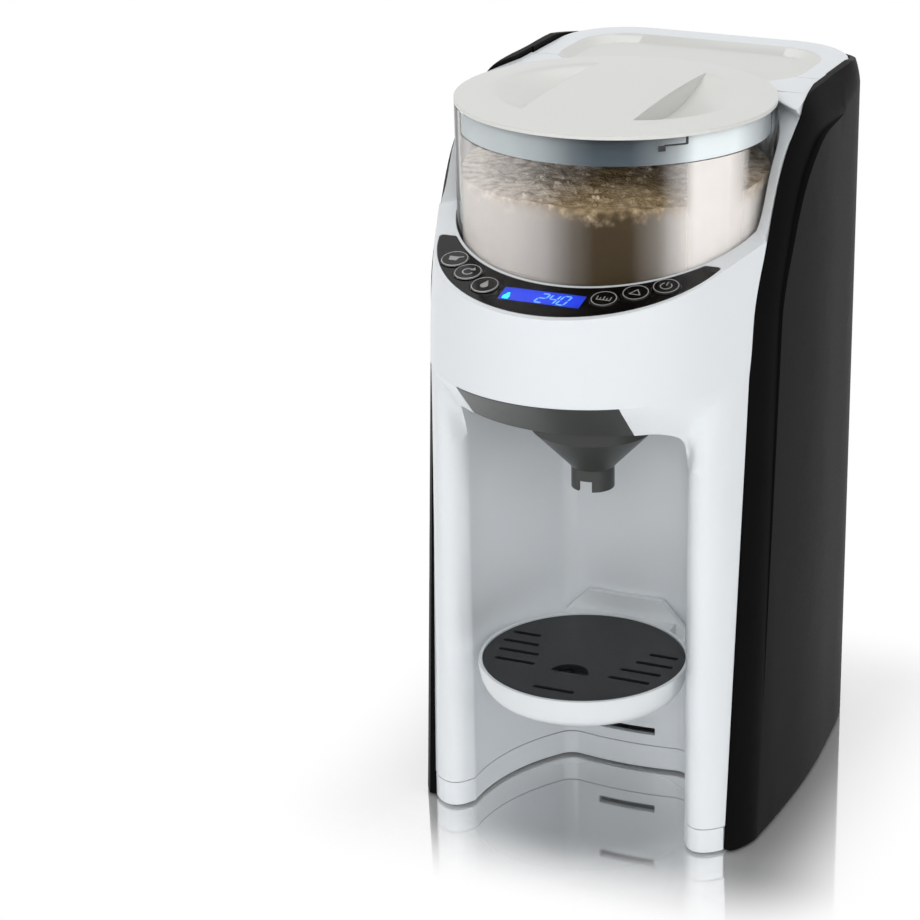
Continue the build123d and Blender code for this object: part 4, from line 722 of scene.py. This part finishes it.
class OBJECT_OT_fascia(bpy.types.Operator):
    """Control fascia, display with its digits, and keys with their rings and symbols"""

    bl_idname = "formula_maker.fascia"
    bl_label = "Control fascia"

    def execute(self, context):
        refinish("control_fascia", "fascia", "housing")
        refinish("display_window", "display", "housing")
        self.draw_display()
        for key, (x, y) in KEYS.items():
            node = key + "_button"
            refinish(node, "key", node)
            place = on_fascia(x, y, KEY_TOP - 0.03)
            bm = bmesh.new()
            getattr(self, key)(bm, place)
            close_up(bm)
            link_piece(key + "_mark", bm, "mark", node)
            width = setting("controls", "ring_width") / MM
            bm = bmesh.new()
            raised = key in ("dose", "dial", "water")
            if raised:
                turned_ring(bm, 6.15, 6.15 - 2.1 * width, 0.25, on_fascia(x, y, KEY_TOP - 0.55), crown=0.42)
            else:
                turned_ring(bm, 5.6, 5.6 - width, 0.08, place)
            close_up(bm)
            link_piece(key + "_ring", bm, "bezel" if raised else "mark", node)
        return {"FINISHED"}

    def draw_display(self):
        place = on_fascia(*WINDOW_AT, lift=-0.01)
        height = setting("controls", "digit_height") / MM
        pitch = 0.72 * height
        bm = bmesh.new()
        for count, figure in enumerate("%03d" % setting("controls", "amount")):
            for outline in digit_bars(int(figure), -1.4 + count * pitch, height):
                plate(bm, outline, 0.05, place @ Matrix.Translation((0, -0.4, 0)))
        close_up(bm)
        link_piece("display_digits", bm, "digit", "housing")
        bottle = [(-17.0, -4.1), (-14.1, -4.1), (-13.9, -1.6), (-14.6, -0.7), (-14.5, 0.7), (-15.9, 0.7)]
        bottle += [(-16.2, -0.7), (-17.0, -1.6)]
        bm = bmesh.new()
        plate(bm, bottle, 0.05, place)
        close_up(bm)
        link_piece("display_bottle", bm, "symbol", "housing")

    def dose(self, bm, place):
        """A measuring scoop."""
        plate(bm, [(-2.9, 1.6), (-2.2, -1.5), (1.2, -1.5), (1.9, 1.6)], 0.08, place)
        plate(bm, [(1.5, 0.9), (3.6, 1.7), (3.6, 2.4), (1.3, 1.6)], 0.1, place)

    def dial(self, bm, place):
        """An arrow going round."""
        turned_ring(bm, 2.6, 1.95, 0.08, place, start=60.0, sweep=285.0)
        plate(bm, [(0.6, 1.2), (3.1, 1.5), (1.9, 3.6)], 0.1, place)

    def water(self, bm, place):
        """A drop."""
        drop = [(0.3, 3.4)]
        for turn in range(150, 391, 20):
            drop.append((1.75 * math.cos(math.radians(turn)), -0.7 + 1.75 * math.sin(math.radians(turn))))
        plate(bm, drop, 0.08, place)

    def unit(self, bm, place):
        """A measuring scale."""
        plate(bm, [(-3.2, -1.5), (3.2, -1.5), (3.2, -1.0), (-3.2, -1.0)], 0.08, place)
        for step in range(5):
            x = -3.0 + 1.5 * step
            top = 1.5 if step % 2 == 0 else 0.5
            plate(bm, [(x - 0.22, -1.1), (x + 0.22, -1.1), (x + 0.22, top), (x - 0.22, top)], 0.1, place)

    def start(self, bm, place):
        """A triangle."""
        corners = [(-2.3, -1.7), (2.5, -1.7), (0.1, 2.3)]
        for k in range(3):
            a, b = Vector(corners[k]), Vector(corners[(k + 1) % 3])
            away = Vector((b.y - a.y, a.x - b.x)).normalized() * 0.24
            plate(bm, [a - away, a + away, b + away, b - away], 0.08 + 0.01 * k, place)

    def power(self, bm, place):
        """A broken ring and a bar."""
        turned_ring(bm, 2.7, 2.2, 0.08, place, start=125.0, sweep=290.0)
        plate(bm, [(-0.25, 0.3), (0.25, 0.3), (0.25, 3.2), (-0.25, 3.2)], 0.1, place)


class OBJECT_OT_bowl(bpy.types.Operator):
    """Clear powder bowl, its lid and seal, the wheel in it, and the catch mark on its wall"""

    bl_idname = "formula_maker.bowl"
    bl_label = "Powder bowl"

    def execute(self, context):
        bm = merged_copy("powder_bowl")
        self.turn_wall(bm)
        link_piece("look_powder_bowl", bm, "bowl", "bowl", ("powder_bowl",))

        bm = merged_copy("powder_lid")
        for vert in bm.verts:
            if vert.co.z < 326.0 * MM and off_axis(vert.co) > 64.0 * MM:
                vert.co.z = SKIRT_FOOT_Z * MM
        for face in bm.faces:
            middle = face.calc_center_median()
            face.material_index = int(middle.z < SKIRT_TOP_Z * MM and off_axis(middle) > 65.5 * MM)
        link_piece("look_powder_lid", bm, "lid skirt", "lid", ("powder_lid",))
        bm = merged_copy("lid_seal")
        draw_in(bm, SEAL_R)
        for vert in bm.verts:
            vert.co.z += math.copysign(0.12 * MM, vert.co.z - SEAL_Z * MM)
        link_piece("look_lid_seal", bm, "skirt", "seal", ("lid_seal",))
        refinish("mixing_wheel", "inner", "wheel")
        bm = merged_copy("powder_scraper")
        draw_in(bm, SCRAPER_R)
        link_piece("look_powder_scraper", bm, "inner", "bowl", ("powder_scraper",))
        self.catch_mark()
        return {"FINISHED"}

    def turn_wall(self, bm):
        """Turns the wall above the foot afresh in fine steps, so that what lies against it stays inside."""
        foot, reach = 270.9 * MM, 68.0 * MM
        wall = [f for f in bm.faces if all(v.co.z > foot and off_axis(v.co) > reach for v in f.verts)]
        bmesh.ops.delete(bm, geom=wall, context="FACES")
        profile = [(70.4, 271.0), (70.99, 334.7), (70.7, 335.0), (69.1, 335.0)]
        profile += [(WALL_TOP_R, 334.7), (WALL_LOW_R, WALL_LOW_Z)]
        full_turn(bm, profile, 360, closed=False)
        turned = [f for f in bm.faces if f.calc_center_median().z > 280.0 * MM]
        bmesh.ops.recalc_face_normals(bm, faces=turned)

    def catch_mark(self):
        """The small step moulded in the wall that shows where the lid locks."""
        bm = bmesh.new()
        # the bearings of each box's ends in degrees, and the heights of its edges in millimetres
        steps = ((36.0, 38.6, 329.6, 332.0), (38.0, 46.6, 331.7, 332.4), (46.0, 46.9, 331.9, 335.0))
        for start, end, low, high in steps:
            made = bmesh.ops.create_cube(bm, size=1.0)["verts"]
            arc = [math.radians(a) * BOWL_R * MM for a in (start, end)]
            size = (arc[1] - arc[0], (high - low) * MM, 0.35 * MM)
            place = ((arc[0] + arc[1]) / 2, (low + high) / 2 * MM, 0.0)
            bmesh.ops.scale(bm, vec=size, verts=made)
            bmesh.ops.translate(bm, vec=place, verts=made)
        long = [e for e in bm.edges if abs(e.verts[0].co.x - e.verts[1].co.x) > 4 * MM]
        bmesh.ops.subdivide_edges(bm, edges=long, cuts=8, use_grid_fill=True)
        bend_on_wall(bm, bm.verts, BOWL_R * MM)
        link_piece("catch_mark", bm, "rubber", "bowl", sharp=50.0)


def off_axis(place):
    """Distance of a place from the bowl's axis."""
    return math.hypot(place.x, place.y - AXIS_Y)


def draw_in(bm, limit):
    """Brings what lies outside a radius in millimetres in to it."""
    for vert in bm.verts:
        reach = off_axis(vert.co)
        if reach > limit * MM:
            axis = Vector((0.0, AXIS_Y, vert.co.z))
            vert.co = axis + (vert.co - axis) * limit * MM / reach


def wall_radius(z):
    """Radius of the bowl's inner wall at a height, in millimetres."""
    share = (z - WALL_LOW_Z) / (WALL_TOP_Z - WALL_LOW_Z)
    return WALL_LOW_R + share * (WALL_TOP_R - WALL_LOW_R)


def full_turn(bm, profile, steps, closed):
    """A full turn of a profile of (radius, height) in millimetres about the bowl's axis."""
    verts = [bm.verts.new((r * MM, AXIS_Y, z * MM)) for r, z in profile]
    edges = [bm.edges.new(pair) for pair in zip(verts, verts[1:])]
    if closed:
        edges.append(bm.edges.new((verts[-1], verts[0])))
    geom, axis, centre = verts + edges, (0, 0, 1), (0, AXIS_Y, 0)
    bmesh.ops.spin(bm, geom=geom, cent=centre, axis=axis, angle=math.tau, steps=steps, use_merge=True)


class OBJECT_OT_powder(bpy.types.Operator):
    """Formula powder filling the bowl, with its lumpy top, and a film on the wall that carries a painted pale
    reflection
    """

    bl_idname = "formula_maker.powder"
    bl_label = "Formula powder"

    def execute(self, context):
        level = setting("bowl", "level") / MM
        touch = 0.12  # the powder stops this far short of the wall
        rings = 56
        profile = [(wall_radius(level) * k / rings - touch * (k == rings), level) for k in range(rings + 1)]
        for z in (level - 5, level - 10, 290.0, WALL_LOW_Z):
            profile.append((wall_radius(z) - touch, z))
        profile += [(66.4, 267.4), (63.5, 266.2), (61.6, 266.2), (61.6, 278.0), (0.0, 278.0)]
        bm = bmesh.new()
        full_turn(bm, profile, 288, closed=False)
        close_up(bm)
        for vert in bm.verts:
            if vert.co.z > (level - 0.5) * MM:
                vert.co.z += self.swell(vert.co.x, vert.co.y)
        self.crumbs(bm, level)
        link_piece("formula_powder", bm, "powder", "bowl", sharp=70.0)

        # a thin film just inside the wall, which carries the painted pale reflection
        inner, outer = 0.08, 0.05  # the film's two faces, in from the wall
        low, high = WALL_LOW_Z, FILM_TOP_Z
        corners = ((low, inner), (low, outer), (high, outer), (high, inner))
        bm = bmesh.new()
        full_turn(bm, [(wall_radius(z) - inset, z) for z, inset in corners], 144, closed=True)
        close_up(bm)
        link_piece("dust_film", bm, "film", "bowl")
        return {"FINISHED"}

    def swell(self, x, y):
        """How far the powder's top stands above its level: higher behind, heaped and lumpy."""
        lump = setting("bowl", "lump")
        place = Vector((x, y - AXIS_Y, 0.0))
        low_side = math.radians(12)  # the bearing of the lowest edge
        ahead = (place.x * math.sin(low_side) - place.y * math.cos(low_side)) / (68.0 * MM)
        heap = noise.noise(place / (34 * MM) + Vector((3.1, 0.4, 0)))
        coarse = noise.fractal(place / (9 * MM), 0.9, 2.1, 4)
        fine = noise.noise(place / (2.6 * MM))
        return -1.4 * MM * ahead + lump * (0.55 * heap + 0.32 * coarse + 0.1 * fine)

    def crumbs(self, bm, level):
        """Loose crumbs lying on the top, most of them near the front."""
        scatter = random.Random(11)
        for _ in range(120):
            radius = scatter.uniform(0.5, 1.3) * MM
            reach = 66.5 * MM * math.sqrt(scatter.uniform(0.05, 1.0)) - radius
            turn = math.radians(scatter.gauss(5.0, 55.0))
            x, y = reach * math.sin(turn), AXIS_Y - reach * math.cos(turn)
            z = level * MM + self.swell(x, y) + 0.2 * radius
            spot = Matrix.Translation((x, y, z))
            made = bmesh.ops.create_icosphere(bm, subdivisions=1, radius=radius, matrix=spot)
            for vert in made["verts"]:
                nudge = Vector((scatter.uniform(-1, 1), scatter.uniform(-1, 1), scatter.uniform(-1, 1)))
                vert.co += nudge * radius * 0.25


class OBJECT_OT_dispenser(bpy.types.Operator):
    """Funnel drawer, funnel and its cover"""

    bl_idname = "formula_maker.dispenser"
    bl_label = "Funnel drawer"

    def execute(self, context):
        for node in ("funnel_drawer", "funnel", "funnel_cover"):
            refinish(node, "drawer", "drawer")
        return {"FINISHED"}


class OBJECT_OT_tray(bpy.types.Operator):
    """Bottle tray, its slotted cover and the arm"""

    bl_idname = "formula_maker.tray"
    bl_label = "Bottle tray"

    def execute(self, context):
        refinish("tray_body", "tray", "tray")
        refinish("tray_bracket", "tray", "tray")
        refinish("tray_grate", "grate", "grate", 0.3 * MM)
        return {"FINISHED"}


class OBJECT_OT_tank(bpy.types.Operator):
    """Water tank and its lid"""

    bl_idname = "formula_maker.tank"
    bl_label = "Water tank"

    def execute(self, context):
        refinish("water_tank", "tank", "tank")

        def rim_or_dish(face):
            middle = face.calc_center_median() / MM
            inside = abs(middle.x) < 60.2 and 36.8 < middle.y < 106.2
            return int(inside and middle.z < 332.9)

        refinish("water_tank_lid", "shell lid", "tank_lid", 0.0, rim_or_dish)
        return {"FINISHED"}


class OBJECT_OT_works(bpy.types.Operator):
    """Finishes for the pieces inside"""

    bl_idname = "formula_maker.works"
    bl_label = "Inner works"

    def execute(self, context):
        finishes = {
            "inner": "inner_frame gear_plate powder_chute water_spout tank_port tank_valve drive_gear "
            "motor_pinion water_pump power_inlet",
            "rubber": "port_seal tank_hose heater_hose spout_hose",
            "steel": "drive_shaft housing_screws gear_motor",
            "aluminium": "water_heater",
            "board": "control_board power_board",
        }
        for key, nodes in finishes.items():
            for node in nodes.split():
                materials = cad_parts[node].data.materials
                for index in range(len(materials)):
                    materials[index] = finish(key)
        return {"FINISHED"}


# ---------------------------------------------------------------- stage
BAY_SCALE = (1 / 0.075, 1 / 0.075, 0.0)  # a reach of 75 mm counts as 1


def seen_plainly(tree):
    """1 for rays that show a surface straight on, in a reflection or through glass, and 0 for light."""
    path = add(tree, "LightPath")
    total = path.outputs["Is Camera Ray"]
    for name in ("Is Glossy Ray", "Is Transmission Ray"):
        total = add(tree, "Math", {0: total, 1: path.outputs[name]}, operation="MAXIMUM").outputs[0]
    return total


class SCENE_OT_stage(bpy.types.Operator):
    """Floor, lamps and camera"""

    bl_idname = "formula_maker.stage"
    bl_label = "Stage"

    def execute(self, context):
        self.floor(context.scene)
        self.room(context.scene)
        aim = Vector((0.0, AXIS_Y, 0.17))
        self.softbox("overhead", (-0.25, 0.35, 1.9), 1.7, setting("stage", "overhead"), aim)
        self.softbox("front", (0.3, -1.65, 1.3), 1.4, setting("stage", "front"), aim)
        self.softbox("right", (1.5, -0.9, 0.9), 1.1, setting("stage", "key"), aim)
        self.softbox("left", (-1.5, -1.0, 0.9), 1.1, setting("stage", "fill"), aim)
        self.camera(context.scene)
        context.scene.view_settings.view_transform = "Standard"
        return {"FINISHED"}

    def floor(self, scene):
        """A glossy floor: it mirrors and shades the object's foot, is drawn darker inside the bay as painted
        shade, and is plain white further out.
        """
        bm = bmesh.new()
        bmesh.ops.create_grid(bm, x_segments=1, y_segments=1, size=8.0)
        mesh = bpy.data.meshes.new("floor")
        bm.to_mesh(mesh)
        bm.free()
        floor = bpy.data.objects.new("floor", mesh)
        scene.collection.objects.link(floor)
        material, tree = start_material("pale_floor")
        # the feet stand on 170 by 200 mm, whose middle is 23 mm behind the origin
        away = object_space(tree)
        middle, half = (0.0, -0.023, 0.0), (0.085, 0.1, 0.0)
        for step, by in (("ADD", middle), ("ABSOLUTE", None), ("SUBTRACT", half), ("MAXIMUM", None)):
            inputs = {0: away, 1: by} if by else {0: away}
            away = add(tree, "VectorMath", inputs, operation=step).outputs[0]
        away = add(tree, "VectorMath", {0: away}, operation="LENGTH")
        reach = {"Value": away.outputs["Value"], "From Min": 0.0, "From Max": 0.066}
        plain = add(tree, "MapRange", reach, interpolation_type="SMOOTHSTEP")
        share = {0: plain.outputs[0], 1: seen_plainly(tree)}
        share = add(tree, "Math", share, operation="MULTIPLY")
        # painted shade: the floor's colour is darkened inside the bay, where little light reaches
        place = {"Vector": object_space(tree), "Location": (0.0, 0.8, 0.0), "Scale": BAY_SCALE}
        bay = {0: add(tree, "Mapping", place).outputs[0]}
        bay = add(tree, "VectorMath", bay, operation="LENGTH").outputs["Value"]
        deep = ramp(tree, bay, [(0.45, "#7c7d7f"), (1.0, "#f8f8f8")])
        matte = add(tree, "BsdfDiffuse", {"Color": deep.outputs[0]})
        mirror = add(tree, "BsdfGlossy", {"Color": linear("#ffffff"), "Roughness": 0.05})
        sheen = add(tree, "MixShader", {0: 0.62, 1: matte.outputs[0], 2: mirror.outputs[0]})
        white = add(tree, "Emission", {"Color": linear("#ffffff"), "Strength": 1.0})
        mixed = {0: share.outputs[0], 1: sheen.outputs[0], 2: white.outputs[0]}
        finish_material(material, "MixShader", mixed)
        mesh.materials.append(material)

    def room(self, scene):
        """An even room, white where it is seen straight on."""
        world = bpy.data.worlds.new("studio")
        world.use_nodes = True
        tree = world.node_tree
        tree.nodes.clear()
        plain = add(tree, "Background", {"Color": linear("#ffffff"), "Strength": 1.0})
        even = {"Color": linear("#f4f6f8"), "Strength": setting("stage", "sky")}
        soft = add(tree, "Background", even)
        mixed = {0: seen_plainly(tree), 1: soft.outputs[0], 2: plain.outputs[0]}
        add(tree, "OutputWorld", {"Surface": add(tree, "MixShader", mixed).outputs[0]})
        scene.world = world

    def softbox(self, name, place, size, power, aim):
        """A square softbox that faces the object."""
        lamp_data = bpy.data.lights.new(name, "AREA")
        lamp_data.shape = "SQUARE"
        lamp_data.size = size
        lamp_data.energy = power
        lamp = bpy.data.objects.new(name, lamp_data)
        lamp.location = place
        lamp.rotation_euler = (aim - Vector(place)).to_track_quat("-Z", "Y").to_euler()
        lamp.visible_camera = False
        bpy.context.scene.collection.objects.link(lamp)

    def camera(self, scene):
        camera_data = bpy.data.cameras.new("camera")
        camera_data.sensor_width = 36.0
        camera_data.lens = 111.65
        camera_data.shift_x = -0.1688
        camera_data.clip_start = 0.05
        camera_data.clip_end = 40.0
        camera = bpy.data.objects.new("camera", camera_data)
        azimuth, pitch = math.radians(21.73), math.radians(21.54)
        level = math.cos(pitch)
        back = Vector((math.sin(azimuth) * level, -math.cos(azimuth) * level, math.sin(pitch)))
        camera.location = Vector((-0.33 * MM, AXIS_Y, 164.6 * MM)) + back * 1.3113
        camera.rotation_euler = (-back).to_track_quat("-Z", "Y").to_euler()
        scene.collection.objects.link(camera)
        scene.camera = camera


class VIEW3D_PT_formula_maker(bpy.types.Panel):
    """Lists the pieces and their settings in the 3D view's sidebar"""

    bl_idname = "VIEW3D_PT_formula_maker"
    bl_label = "Formula Maker"
    bl_space_type = "VIEW_3D"
    bl_region_type = "UI"
    bl_category = "Formula Maker"

    def draw(self, context):
        for operator in OPERATORS:
            self.layout.operator(operator.bl_idname)
        for group, kind in SETTINGS.items():
            box = self.layout.box()
            box.label(text=kind.__doc__)
            for name in kind.__annotations__:
                box.prop(getattr(context.scene, group), name)


OPERATORS = (
    OBJECT_OT_housing,
    OBJECT_OT_fascia,
    OBJECT_OT_bowl,
    OBJECT_OT_powder,
    OBJECT_OT_dispenser,
    OBJECT_OT_tray,
    OBJECT_OT_tank,
    OBJECT_OT_works,
    SCENE_OT_stage,
)
CLASSES = tuple(SETTINGS.values()) + OPERATORS + (VIEW3D_PT_formula_maker,)


def register():
    for cls in CLASSES:
        bpy.utils.register_class(cls)
    for group, kind in SETTINGS.items():
        setattr(bpy.types.Scene, group, PointerProperty(type=kind))


def unregister():
    for group in SETTINGS:
        delattr(bpy.types.Scene, group)
    for cls in reversed(CLASSES):
        bpy.utils.unregister_class(cls)


def main():
    register()
    for operator in OPERATORS:
        group, name = operator.bl_idname.split(".")
        getattr(getattr(bpy.ops, group), name)()


if __name__ == "__main__":
    main()
